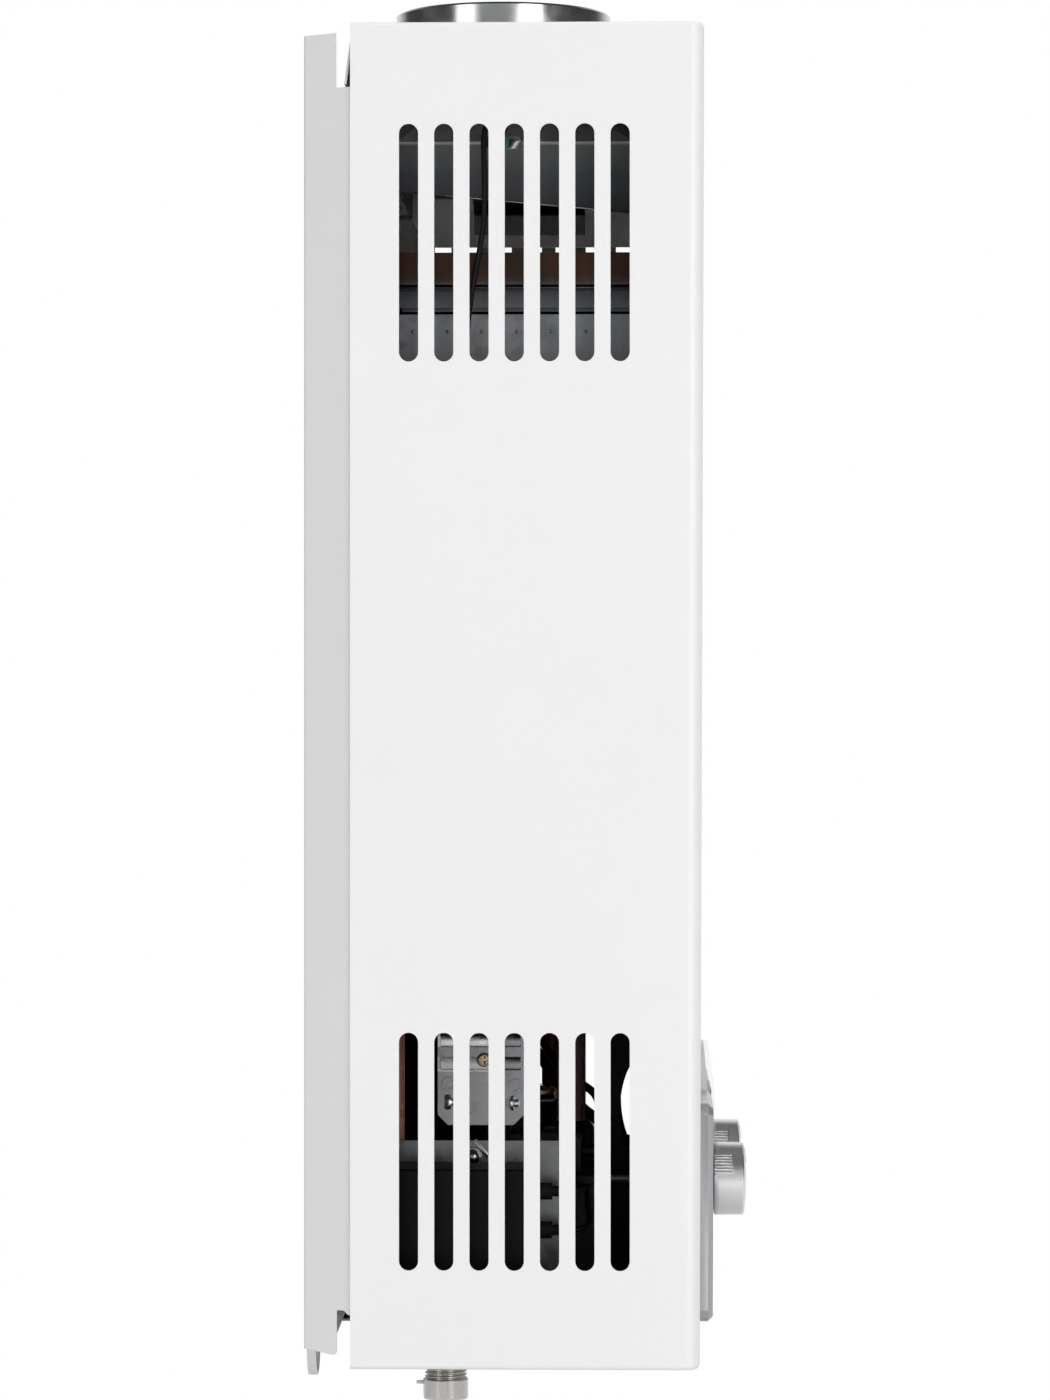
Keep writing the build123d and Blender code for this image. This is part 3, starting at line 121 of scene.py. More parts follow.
class Wire:
    def __init__(self, socket):
        self.socket = socket

    def node(self, kind, settings=None, inputs=None, output=0):
        tree = self.socket.id_data
        made = tree.nodes.new(kind)
        for key, value in (settings or {}).items():
            if key == "stops":
                ramp = made.color_ramp
                while len(ramp.elements) < len(value):
                    ramp.elements.new(0.5)
                for stop, (position, colour) in zip(ramp.elements, value):
                    stop.position = position
                    stop.color = (*colour, 1) if len(colour) == 3 else colour
            else:
                setattr(made, key, value)
        for key, value in (inputs or {}).items():
            if isinstance(value, Wire):
                tree.links.new(value.socket, made.inputs[key])
            else:
                made.inputs[key].default_value = value
        return Wire(made.outputs[output])

    def maths(self, operation, first, second):
        return self.node("ShaderNodeMath", {"operation": operation}, {0: first, 1: second})

    def __add__(self, other):
        return self.maths("ADD", self, other)

    def __radd__(self, other):
        return self.maths("ADD", other, self)

    def __sub__(self, other):
        return self.maths("SUBTRACT", self, other)

    def __rsub__(self, other):
        return self.maths("SUBTRACT", other, self)

    def __mul__(self, other):
        return self.maths("MULTIPLY", self, other)

    def __rmul__(self, other):
        return self.maths("MULTIPLY", other, self)

    def __gt__(self, other):
        return self.maths("GREATER_THAN", self, other)

    def noise(self, scale, detail=3.0, roughness=0.5):
        inputs = {"Vector": self, "Scale": scale, "Detail": detail, "Roughness": roughness}
        return self.node("ShaderNodeTexNoise", {}, inputs)

    def stretched(self, scale):
        return self.node("ShaderNodeMapping", {}, {"Vector": self, "Scale": scale})

    def mapped(self, start, end, low=0.0, high=1.0, fade="LINEAR"):
        inputs = {"Value": self, "From Min": start, "From Max": end, "To Min": low, "To Max": high}
        return self.node("ShaderNodeMapRange", {"interpolation_type": fade}, inputs)

    def between(self, low, high):
        return self.mapped(0.25, 0.75, low, high)   # noise keeps mostly to its middle half

    def within(self, low, high):
        return (self > low) * (high - self > 0)

    def part(self, index):
        return self.node("ShaderNodeSeparateXYZ", {}, {"Vector": self}, index)


def mixColours(factor, first, second):
    def asColour(value):
        return value if isinstance(value, Wire) else (*value, 1)
    inputs = {0: factor, 6: asColour(first), 7: asColour(second)}
    return factor.node("ShaderNodeMix", {"data_type": "RGBA"}, inputs, 2)


def rayKinds(start):
    sockets = start.node("ShaderNodeLightPath").socket.node.outputs
    return [Wire(sockets[kind]) for kind in ("Is Camera Ray", "Is Glossy Ray", "Is Transmission Ray")]


def startFinish(name, **fixed):
    material = bpy.data.materials.new(name)
    material.use_nodes = True
    shader = material.node_tree.nodes["Principled BSDF"]
    for key, value in fixed.items():
        socket = shader.inputs[key.replace("_", " ")]
        socket.default_value = (*value, 1) if isinstance(value, tuple) else value
    coordinates = material.node_tree.nodes.new("ShaderNodeTexCoord")
    return material, Wire(coordinates.outputs["Object"])


def connect(material, **wires):
    tree = material.node_tree
    shader = tree.nodes["Principled BSDF"]
    for key, wire in wires.items():
        tree.links.new(wire.socket, shader.inputs[key.replace("_", " ")])
    return material


def softEdges(place, radius):
    return place.node("ShaderNodeBevel", {"samples": 4}, {"Radius": radius})


def bumped(height, strength, distance, normal=None):
    inputs = {"Height": height, "Strength": strength, "Distance": distance}
    if normal:
        inputs["Normal"] = normal
    return height.node("ShaderNodeBump", {}, inputs)


# finishes: noise scales are waves per metre; edge radii and bump distances are metres

def powderCoat(name, colour, edges=0.0):
    material, place = startFinish(name, Coat_Weight=0.15, Coat_Roughness=0.25)
    peel = place.noise(1400, 2)
    cloud = place.noise(7, 2).between(0.0, 1.0)
    tone = mixColours(cloud, tuple(0.985 * v for v in colour), colour)
    normal = softEdges(place, edges) if edges else None
    return connect(
        material,
        Base_Color=tone,
        Roughness=place.noise(40, 3).between(0.40, 0.48),
        Normal=bumped(peel, 0.10, 0.0003, normal),
    )


# painted highlights on the pressed ribs of the hangers, near white and brighter towards the back; the
# lower one is less metallic too
ribHighlights = {"spans": ((0.1491, 0.1545), (0.1370, 0.1443)), "fade": (-0.106, -0.094),
        "tone": (0.98, 0.98, 0.98), "dulled": 0.7}


def zincSheet(name, dark, light, rough=0.34, ribHighlighted=False):
    material, place = startFinish(name, Metallic=1.0)
    cells = {"Vector": place, "Scale": 230.0}
    grain = place.node("ShaderNodeTexVoronoi", {"feature": "F1"}, cells, 1).part(0)
    haze = place.noise(18, 4)
    tone = mixColours(grain * 0.35 + haze * 0.65, dark, light)
    if ribHighlighted:
        # painted highlights: near-white bands over the ribs, fading in towards the back
        bright = place.part(1).mapped(*ribHighlights["fade"])
        for low, high in ribHighlights["spans"]:
            highlightBand = place.part(2).within(low, high) * bright
            tone = mixColours(highlightBand, tone, ribHighlights["tone"])
        connect(material, Metallic=1 - highlightBand * ribHighlights["dulled"])
    return connect(
        material,
        Base_Color=tone,
        Roughness=(grain * 0.4 + haze * 0.6).between(rough - 0.06, rough + 0.10),
        Normal=bumped(haze, 0.12, 0.0006, softEdges(place, 0.0003)),
    )


def heatTinted(name, brown, red, blue, blueBelow, brownAbove):
    material, place = startFinish(name, Metallic=1.0)
    blotch = place.noise(16, 4, 0.6).between(-0.35, 0.9)
    depth = place.part(2).mapped(brownAbove, blueBelow, fade="SMOOTHSTEP")
    warm = mixColours(blotch, brown, red)
    return connect(
        material,
        Base_Color=mixColours(depth, warm, blue),
        Roughness=place.noise(60, 3).between(0.30, 0.42),
        Normal=bumped(place.noise(90, 2), 0.06, 0.0004),
    )


# the hood's sheet by height, in painted shade and light: dark at its lower edge, grey below its fold,
# and pale above it, where it catches the light
hoodShading = {
    "low": 0.555, "fold": 0.5895, "high": 0.624,
    # painted shade and light from the lower edge up: dark, grey, grey at the fold, pale above it
    "shadeTones": ((0.06, 0.063, 0.07), (0.14, 0.148, 0.16), (0.30, 0.31, 0.32), (0.92, 0.92, 0.92)),
    "knee": 0.55,                     # where the second tone stands, as a share of the way to the fold
    "creaseWidth": 0.02,
    "farSideLight": (0.9, 0.89, 0.88),     # the right half, which the far slots light
    "soot": (0.01, 0.01, 0.01),
}


def foldedHood(name):
    facts = hoodShading
    material, place = startFinish(name)
    height = place.part(2)
    crease = (facts["fold"] - facts["low"]) / (facts["high"] - facts["low"])
    positions = (0.0, crease * facts["knee"], crease - facts["creaseWidth"], crease)
    stops = tuple(zip(positions, facts["shadeTones"]))
    rise = height.mapped(facts["low"], facts["high"])
    paintedShade = rise.node("ShaderNodeValToRGB", {"stops": stops}, {0: rise})
    haze = place.noise(18, 4).between(0.0, 0.25)
    # painted shade graded by height on the near half, painted light over the far half
    nearSideShaded = mixColours(haze, paintedShade, facts["soot"])
    return connect(
        material,
        Base_Color=mixColours(place.part(0) > 0, nearSideShaded, facts["farSideLight"]),
        Metallic=1 - (height > facts["fold"]),
        Roughness=place.noise(30, 3).between(0.34, 0.44),
        Normal=bumped(haze, 0.10, 0.0006, softEdges(place, 0.0004)),
    )


def copperSkin(name, clean, tarnish, metal=1.0, bands=()):
    material, place = startFinish(name, Metallic=metal)
    blotch = place.noise(24, 5, 0.6).between(0.0, 1.0)
    streak = place.stretched((60, 60, 9)).noise(1.6, 3).between(0.0, 1.0)
    mask = blotch * 0.5 + streak * 0.5
    tone = mixColours(mask, clean, tarnish)
    for low, high, colour in bands:
        tone = mixColours(place.part(2).within(low, high), tone, colour)
    return connect(
        material,
        Base_Color=tone,
        Roughness=mask.between(0.24, 0.46),
        Normal=bumped(place.noise(350, 2), 0.08, 0.0003, softEdges(place, 0.0003)),
    )


def turnedMetal(name, dark, light, rough, grainScale=(900, 900, 60)):
    material, place = startFinish(name, Metallic=1.0)
    lines = place.stretched(grainScale).noise(1.0, 2)
    haze = place.noise(30, 3)
    return connect(
        material,
        Base_Color=mixColours(haze.between(0.0, 1.0), dark, light),
        Roughness=lines.between(rough - 0.05, rough + 0.07),
        Normal=bumped(lines, 0.06, 0.0002, softEdges(place, 0.0003)),
    )


def castMetal(name, dark, light, rough=0.5):
    material, place = startFinish(name, Metallic=1.0)
    sand = place.noise(1500, 3, 0.7)
    haze = place.noise(22, 4)
    return connect(
        material,
        Base_Color=mixColours(haze.between(0.0, 1.0), dark, light),
        Roughness=haze.between(rough - 0.08, rough + 0.08),
        Normal=bumped(sand, 0.35, 0.0004, softEdges(place, 0.0006)),
    )


def mouldedPlastic(name, colour, rough, grain=0.15, edges=0.0004, **fixed):
    material, place = startFinish(name, **fixed)
    texture = place.noise(2200, 2)
    haze = place.noise(35, 3).between(0.0, 1.0)
    lighter = tuple(min(1.0, v * 1.25 + 0.004) for v in colour)
    return connect(
        material,
        Base_Color=mixColours(haze, colour, lighter),
        Roughness=haze.between(rough - 0.04, rough + 0.05),
        Normal=bumped(texture, grain, 0.0002, softEdges(place, edges)),
    )


def satinSilver(name, dark, light, rough, metal):
    material, place = startFinish(name, Metallic=metal)
    flake = place.noise(5000, 1)
    haze = place.noise(14, 2)
    return connect(
        material,
        Base_Color=mixColours(haze.between(0.0, 1.0), dark, light),
        Roughness=flake.between(rough - 0.03, rough + 0.04),
        Normal=bumped(flake, 0.03, 0.0001, softEdges(place, 0.0004)),
    )


finishes = {
    "cover_white": powderCoat("coverWhite", (0.84, 0.84, 0.84)),
    "panel_white": powderCoat("panelWhite", (0.76, 0.76, 0.76), 0.0003),
    "flue_steel": turnedMetal("flueSteel", (0.50, 0.51, 0.52), (0.62, 0.63, 0.64), 0.20, (90, 90, 90)),
    "galvanised": zincSheet("zincSheet", (0.22, 0.225, 0.23), (0.42, 0.425, 0.43)),
    "copper": copperSkin("copperSkin", (0.30, 0.11, 0.06), (0.075, 0.034, 0.022)),
    "burner_steel": turnedMetal("burnerSteel", (0.20, 0.20, 0.21), (0.32, 0.32, 0.32), 0.4),
    # near black: painted shade of the valve body deep inside the heater
    "cast_alloy": castMetal("castAlloyShaded", (0.05, 0.05, 0.05), (0.11, 0.11, 0.11)),
    "brass": turnedMetal("brass", (0.42, 0.29, 0.10), (0.58, 0.42, 0.17), 0.26, (40, 40, 700)),
    "nickel": turnedMetal("nickel", (0.30, 0.28, 0.26), (0.44, 0.42, 0.40), 0.20, (40, 40, 700)),
    "zinc_screws": turnedMetal("zincScrews", (0.72, 0.73, 0.74), (0.88, 0.89, 0.90), 0.30,
                               (200, 200, 200)),
    "black_plastic": mouldedPlastic("blackPlastic", (0.005, 0.005, 0.005), 0.42,
                                    Specular_IOR_Level=0.10),
    "black_rubber": mouldedPlastic("blackRubber", (0.008, 0.008, 0.008), 0.62, 0.4,
                                   Specular_IOR_Level=0.25),
    "valve_cover": castMetal("valveCover", (0.16, 0.16, 0.16), (0.28, 0.28, 0.28)),
    "stem_steel": turnedMetal("stemSteel", (0.16, 0.16, 0.16), (0.26, 0.26, 0.26), 0.3),
    "cap_plastic": mouldedPlastic("capPlastic", (0.62, 0.60, 0.59), 0.15, 0.0, 0.00005,
                                  Alpha=0.8, Coat_Weight=1.0, Coat_Roughness=0.06),
    "drain_plastic": mouldedPlastic("drainPlastic", (0.02, 0.02, 0.022), 0.4),
    "cell_jacket": mouldedPlastic("cellJacket", (0.10, 0.11, 0.12), 0.25, 0.02),
    "contact_steel": turnedMetal("contactSteel", (0.5, 0.5, 0.48), (0.68, 0.68, 0.66), 0.25),
    "bezel_silver": satinSilver("bezelSilver", (0.37, 0.37, 0.38), (0.42, 0.42, 0.43), 0.28, 0.5),
    "knob_silver": satinSilver("knobSilver", (0.74, 0.74, 0.75), (0.80, 0.80, 0.81), 0.31, 0.97),
    "window_white": mouldedPlastic("windowWhite", (0.50, 0.49, 0.495), 0.3, 0.0, Coat_Weight=0.2),
    "board_dark": mouldedPlastic("boardDark", (0.005, 0.006, 0.006), 0.5, 0.1, Specular_IOR_Level=0.2),
    "ceramic": mouldedPlastic("ceramic", (0.70, 0.67, 0.60), 0.25, 0.05),
    "cutout_green": mouldedPlastic("cutoutGreen", (0.05, 0.30, 0.27), 0.3, 0.05),
    "lead_black": mouldedPlastic("leadBlack", (0.006, 0.006, 0.006), 0.5, Specular_IOR_Level=0.25),
}
# greyer coat inside, kept dark as painted shade of the heater's inside
coverInsideShaded = powderCoat("coverInsideShaded", (0.42, 0.42, 0.42))
hoodZincShaded = foldedHood("hoodZincShaded")
# hanger sheet, with painted highlights on its pressed ribs
hangerZincRibHighlights = zincSheet("hangerZincRibHighlights", (0.34, 0.35, 0.365), (0.50, 0.51, 0.53), 0.30, ribHighlighted=True)
jacketZinc = zincSheet("jacketZinc", (0.27, 0.28, 0.30), (0.48, 0.495, 0.52), 0.36)
# copper lighter and less metallic than the exchanger's: painted light, so the pipe shows in the shade
# of the lower part
pipeCopperLit = copperSkin("pipeCopperLit", (0.86, 0.42, 0.25), (0.55, 0.22, 0.12), metal=0.3)
riserCopper = copperSkin("riserCopper", (0.80, 0.62, 0.55), (0.55, 0.38, 0.33), metal=0.3)
casingCopper = copperSkin("casingCopper", (0.45, 0.19, 0.11), (0.13, 0.06, 0.04), bands=(
    # from, to, colour: the shadow under the frame and the edge of its sheet
    (0.5050, 0.5074, (0.004, 0.004, 0.004)),
    (0.5074, 0.5095, (0.19, 0.20, 0.215)),
))
screwBrass = turnedMetal("screwBrass", (0.30, 0.22, 0.12), (0.46, 0.35, 0.22), 0.34)
shieldTint = heatTinted("shieldTint", (0.055, 0.040, 0.033), (0.12, 0.05, 0.03), (0.10, 0.11, 0.12),
                        0.515, 0.524)
frameTint = heatTinted("frameTint", (0.14, 0.15, 0.16), (0.17, 0.17, 0.18), (0.19, 0.20, 0.215),
                       0.509, 0.517)
lensClear = mouldedPlastic("lensClear", (0.95, 0.93, 0.94), 0.06, 0.0, Alpha=0.15, Coat_Weight=0.8)
displayGlass = mouldedPlastic("displayGlass", (0.012, 0.012, 0.014), 0.1, 0.0, Coat_Weight=0.5)
digitGlow = mouldedPlastic("digitGlow", (0.66, 0.78, 0.84), 0.4, 0.0)
markGrey = mouldedPlastic("markGrey", (0.015, 0.015, 0.018), 0.4, 0.0)
print("finishes made,", len(finishes))


def dress(item, finish):
    item.data.materials.clear()
    item.data.materials.append(finish)


def dressTwice(item, first, second, takesSecond):
    dress(item, first)
    item.data.materials.append(second)
    for face in item.data.polygons:
        face.material_index = 1 if takesSecond(face) else 0


for entry in frame["record"]["subparts"]:
    if entry["node"] in nodes:
        dress(nodes[entry["node"]], finishes[entry["material_slot"]])

ownFinishes = {
    "exhaust_hood": hoodZincShaded,
    "left_hanger": hangerZincRibHighlights,
    "right_hanger": hangerZincRibHighlights,
    "bend_shields": shieldTint,
    "exchanger_frame": frameTint,
    "exchanger_casing": casingCopper,
    "chamber_jacket": jacketZinc,
    "hot_pipe": pipeCopperLit,
    "gas_riser": riserCopper,
}
for name, finish in ownFinishes.items():
    dress(nodes[name], finish)


# modelling by operators

def deselect():
    if bpy.context.object and bpy.context.object.mode != "OBJECT":
        bpy.ops.object.mode_set(mode="OBJECT")
    bpy.ops.object.select_all(action="DESELECT")


def pick(*items):
    deselect()
    for item in items:
        item.select_set(True)
    bpy.context.view_layer.objects.active = items[0]
    return items[0]


def settle(item):
    pick(item)
    bpy.ops.object.transform_apply(location=True, rotation=True, scale=True)
    return item


def shaped(item, kind, **settings):
    pick(item)
    step = item.modifiers.new(kind.title(), kind)
    for key, value in settings.items():
        setattr(step, key, value)
    bpy.ops.object.modifier_apply(modifier=step.name)
    return item


def edited(item, *steps):
    pick(item)
    bpy.ops.object.mode_set(mode="EDIT")
    bpy.ops.mesh.select_all(action="SELECT")
    for step in steps:
        step()
    bpy.ops.object.mode_set(mode="OBJECT")
    return item


def twin(source, name):
    item = bpy.data.objects.new(name, source.data.copy())
    item.matrix_world = source.matrix_world.copy()
    bpy.context.scene.collection.objects.link(item)
    return item


def mergedNode(node, name):
    item = twin(nodes[node], name)
    item.matrix_world.identity()
    return edited(item, lambda: bpy.ops.mesh.remove_doubles(threshold=0.00001))


def copyNode(node, name):
    return edited(
        mergedNode(node, name),
        lambda: bpy.ops.mesh.dissolve_limited(angle_limit=radians(1.0)),
    )


def chooseEdges(item, wanted):
    pick(item)
    bpy.ops.object.mode_set(mode="EDIT")
    bpy.ops.mesh.select_mode(type="EDGE")
    bpy.ops.mesh.select_all(action="DESELECT")
    bpy.ops.object.mode_set(mode="OBJECT")
    normals = {}
    for face in item.data.polygons:
        for key in face.edge_keys:
            normals.setdefault(key, []).append(face.normal)
    chosen = 0
    for edge in item.data.edges:
        start, end = (item.data.vertices[index].co for index in edge.vertices)
        edge.select = wanted((start + end) / 2, normals[tuple(sorted(edge.vertices))])
        chosen += edge.select
    bpy.ops.object.mode_set(mode="EDIT")
    return chosen


def weighted(item):
    return shaped(item, "WEIGHTED_NORMAL", weight=50, keep_sharp=True)


def gather(name, pieces):
    pick(*pieces)
    bpy.ops.object.join()
    item = bpy.context.object
    item.name = name
    return settle(item)


def finished(item, finish, slot, body="cabinet", angle=35):
    pick(item)
    bpy.ops.object.shade_smooth_by_angle(angle=radians(angle))
    if finish:
        dress(item, finish)
    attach(item, body)
    print("made", item.name, len(item.data.polygons), "faces")
    return item


def rod(radius, length, place, turn=(0, 0, 0), sides=48):
    deselect()
    bpy.ops.mesh.primitive_cylinder_add(
        vertices=sides, radius=radius, depth=length, location=place, rotation=turn)
    return bpy.context.object


def lathe(name, profile, steps=64, rise=0.0, rounds=1):
    deselect()
    bpy.ops.mesh.primitive_circle_add(vertices=len(profile), radius=1, fill_type="NOTHING")
    item = bpy.context.object
    item.name = name
    for point, (radius, height) in zip(item.data.vertices, profile):
        point.co = (radius, 0, height)
    shaped(item, "SCREW", angle=2 * pi, screw_offset=rise, iterations=rounds,
           steps=steps, render_steps=steps, axis="Z")
    return edited(
        item,
        lambda: bpy.ops.mesh.remove_doubles(threshold=0.000002),
        lambda: bpy.ops.mesh.delete_loose(),
        lambda: bpy.ops.mesh.select_all(action="SELECT"),
        lambda: bpy.ops.mesh.fill_holes(sides=0),
        lambda: bpy.ops.mesh.normals_make_consistent(inside=False),
    )


def cut(item, tool):
    shaped(item, "BOOLEAN", operation="DIFFERENCE", object=tool, solver="EXACT")
    bpy.data.objects.remove(tool)
    return item


def block(size, place, turn=(0, 0, 0), edge=0.0, segments=2):
    deselect()
    bpy.ops.mesh.primitive_cube_add(size=1, location=place, rotation=turn, scale=size)
    item = settle(bpy.context.object)
    if edge:
        shaped(item, "BEVEL", width=edge, segments=segments)
    return item


def placed(source, name, place, turn=(0, 0, 0)):
    item = twin(source, name)
    item.location = place
    item.rotation_euler = turn
    return settle(item)


def latheAt(name, profile, place, turn=(0, 0, 0), steps=64):
    source = lathe("profile", profile, steps)
    item = placed(source, name, place, turn)
    bpy.data.objects.remove(source)
    return item


# a flat shape drawn in x and z, given a small thickness towards the front

def flatShape(name, outline, y, thickness, tilt=0.0):
    deselect()
    bpy.ops.mesh.primitive_circle_add(vertices=len(outline), radius=1, fill_type="NGON")
    item = bpy.context.object
    item.name = name
    for point, (x, z) in zip(item.data.vertices, outline):
        point.co = (x, y - tilt * z, z)
    return edited(
        item,
        lambda: bpy.ops.mesh.extrude_region_move(TRANSFORM_OT_translate={"value": (0, -thickness, 0)}),
        lambda: bpy.ops.mesh.select_all(action="SELECT"),
        lambda: bpy.ops.mesh.normals_make_consistent(inside=False),
    )


# front cover: its own shape with rolled edges, white outside and in a thin greyer coat inside, whose
# grey also stands in as painted shade of the heater's inside

cover = {"edge": 0.00032, "edgeAngle": 50, "wallDepth": 0.012, "faceOn": 0.7}


def facesIn(face, low, high):
    middle = (low + high) / 2
    for axis in range(3):
        if abs(face.normal[axis]) > cover["faceOn"]:
            offset = face.center[axis] - middle[axis]
            nearWall = abs(offset) > (high[axis] - low[axis]) / 2 - cover["wallDepth"]
            return nearWall and offset * face.normal[axis] < 0
    return False


def makeCover():
    item = shaped(copyNode("front_cover", "coverShell"), "BEVEL", width=cover["edge"], segments=2,
                  limit_method="ANGLE", angle_limit=radians(cover["edgeAngle"]))
    low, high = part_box("front_cover")
    dressTwice(item, finishes["cover_white"], coverInsideShaded, lambda face: facesIn(face, low, high))
    finished(item, None, "cover_white")
    weighted(item)
    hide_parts("front_cover")


makeCover()


# threaded fittings: a turned body, a hexagon, and a helical ridge

thread = {
    "pitch": 0.001814, "crest": 0.01044, "root": 0.00945, "sunk": 0.0003,
    "foot": 0.47, "flat": 0.10, "start": 0.6,     # half widths and start of the ridge, in pitches
    "top": -0.0021, "neck": 0.0095, "chamfer": 0.0007,
}
hexagonNut = {"radius": 0.0150, "edge": 0.0007}
fittings = {
    # name: (CAD node, slot, place, bore radius, bore depth, hexagon from and to)
    "hotOutlet": ("hot_outlet_fitting", "nickel", (-0.085, -0.074), 0.0075, 0.040, (0.0132, 0.0222)),
    "gasInlet": ("gas_inlet_fitting", "brass", (0.024, -0.104), 0.0055, 0.050, (0.0132, 0.0232)),
    "coldInlet": ("cold_inlet_fitting", "nickel", (0.085, -0.104), 0.0075, 0.050, (0.0132, 0.0232)),
}


def threadRidge(place, low, high):
    pitch, crest = thread["pitch"], thread["crest"]
    foot, flat = pitch * thread["foot"], pitch * thread["flat"]
    buried = thread["root"] - thread["sunk"]
    profile = [(buried, -foot), (crest, -flat), (crest, flat), (buried, foot)]
    ridge = lathe("ridge", profile, 40, pitch, int((high - low) / pitch) - 1)
    ridge.location = (*place, low + pitch * thread["start"])
    return settle(ridge)


def makeFitting(name, node, slotName, place, bore, boreDepth, hexagon):
    low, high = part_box(node)
    root, neck, top, corner = (thread[key] for key in ("root", "neck", "top", "chamfer"))
    boreEnd = low.z + boreDepth
    profile = [(bore, low.z), (root - corner, low.z), (root, low.z + corner), (root, top),
               (neck, top), (neck, high.z), (0, high.z), (0, boreEnd), (bore, boreEnd)]
    body = latheAt(name, profile, (*place, 0))
    start, end = hexagon
    middle = (*place, (start + end) / 2)
    flats = rod(hexagonNut["radius"], end - start, middle, (0, 0, pi / 6), sides=6)
    shaped(settle(flats), "BEVEL", width=hexagonNut["edge"], segments=2)
    item = gather(name, [body, flats, threadRidge(place, low.z, top)])
    finished(item, finishes[slotName], slotName)
    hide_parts(node)


for name, facts in fittings.items():
    makeFitting(name, *facts)
print("fittings threaded")


# dust cap on the outlet: soft plastic with fine rings and a pull tab

dustCap = {
    "place": (-0.085, -0.074), "outer": 0.0113, "inner": 0.01058,
    "low": -0.029, "high": -0.019, "floor": -0.0278,
    "lowEdge": (0.0012, 0.0004), "topEdge": (0.0002, 0.0003),
    "rings": 9, "groove": 0.0001, "ringsAbove": 0.0012, "ringsBelow": 0.0004,
    "ringShape": ((0.0, 1.0), (0.2, 0.3), (0.45, 0.0), (0.7, 0.3)),   # shares of pitch and groove
    "tab": (0.0038, 0.0050, 0.0016), "tabReach": 0.0121, "tabHeight": -0.0208, "tabEdge": 0.0007,
}


def makeDustCap():
    facts = dustCap
    outer, inner, low, high, floor = (facts[key] for key in ("outer", "inner", "low", "high", "floor"))
    start = low + facts["ringsAbove"]
    pitch = (high - facts["ringsBelow"] - start) / facts["rings"]
    wall = [(outer - facts["groove"] * depth, start + (index + step) * pitch)
            for index in range(facts["rings"]) for step, depth in facts["ringShape"]]
    lowIn, lowUp = facts["lowEdge"]
    topIn, topDown = facts["topEdge"]
    profile = [(0, low), (outer - lowIn, low), (outer - lowUp, low + lowUp), *wall,
               (outer, high - topDown), (outer - topIn, high), (inner, high), (inner, floor),
               (0, floor)]
    x, y = facts["place"]
    shell = latheAt("dustCap", profile, (x, y, 0))
    tabPlace = (x, y + facts["tabReach"], facts["tabHeight"])
    item = gather("dustCap", [shell, block(facts["tab"], tabPlace, edge=facts["tabEdge"], segments=3)])
    finished(item, finishes["cap_plastic"], "cap_plastic", "outlet_cap")
    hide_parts("outlet_cap")


makeDustCap()


# cross-recess screws, each set turned a little differently

screwHead = {"rounding": 0.45, "crown": 0.00015, "blade": 0.0009, "reach": 0.0044, "depth": 0.0013}
coverScrews = {
    "shape": (0.0040, 0.00225, 0.0019, 0.006),    # head radius and height, shank radius and length
    "top": (0.12, -0.0386, 0.640, 0.5), "bottom": (0.05, -0.053, 0.0, 0.8),   # x, y, z and turn
}
hangerScrews = {
    "shape": (0.0037, 0.00215, 0.0019, 0.0022), "x": 0.1312, "turn": 0.4, "turnPerMetre": 20,
    "places": ((-0.0776, 0.1222), (-0.1097, 0.1217), (-0.080, 0.242), (-0.106, 0.242)),
}
brassScrew = {"shape": (0.0033, 0.0017, 0.0014, 0.001), "turn": 0.3,
              "place": (-0.1323, -0.0944, 0.1428)}


def makeScrew(name, head, height, shank, length):
    rounding = height * screwHead["rounding"]
    shoulder = height - rounding
    dome = [(head - rounding * (1 - cos(step * pi / 8)), shoulder + rounding * sin(step * pi / 8))
            for step in range(5)]
    profile = [(0, -length), (shank, -length), (shank, 0), (head, 0), *dome,
               (0, height + screwHead["crown"])]
    item = lathe(name, profile, 40)
    blade = (screwHead["reach"], screwHead["blade"], screwHead["depth"] * 2)
    for turn in (0, pi / 2):
        cut(item, block(blade, (0, 0, height), (0, 0, turn)))
    return item


def setScrews(name, node, slotName, shape, places, finish=None):
    source = makeScrew("screwShape", *shape)
    copies = [placed(source, name, place, turn) for place, turn in places]
    bpy.data.objects.remove(source)
    item = finished(gather(name, copies), finish or finishes[slotName], slotName, angle=30)
    if node:
        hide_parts(node)


def makeScrews():
    places = []
    for key, flip in (("top", 0), ("bottom", pi)):
        reach, y, z, turn = coverScrews[key]
        places += [((x, y, z), (flip, 0, turn + x)) for x in (-reach, reach)]
    setScrews("coverScrews", "cover_screws", "zinc_screws", coverScrews["shape"], places)

    x, turn, spin = (hangerScrews[key] for key in ("x", "turn", "turnPerMetre"))
    places = [((side * x, y, z), (0, side * pi / 2, turn + spin * y))
              for side in (-1, 1) for y, z in hangerScrews["places"]]
    setScrews("hangerScrews", "hanger_screws", "zinc_screws", hangerScrews["shape"], places)

    places = [(brassScrew["place"], (0, -pi / 2, brassScrew["turn"]))]
    setScrews("brassScrew", None, "brass", brassScrew["shape"], places, screwBrass)


makeScrews()
print("screws set")


# rivets on the back of the rear panel, where the inner brackets are fixed, painted with the panel

rivets = {"x": 0.09, "y": -0.0099, "rows": (0.262, 0.460, 0.576),
          "radius": 0.0034, "height": 0.0011, "sunk": 0.0005}


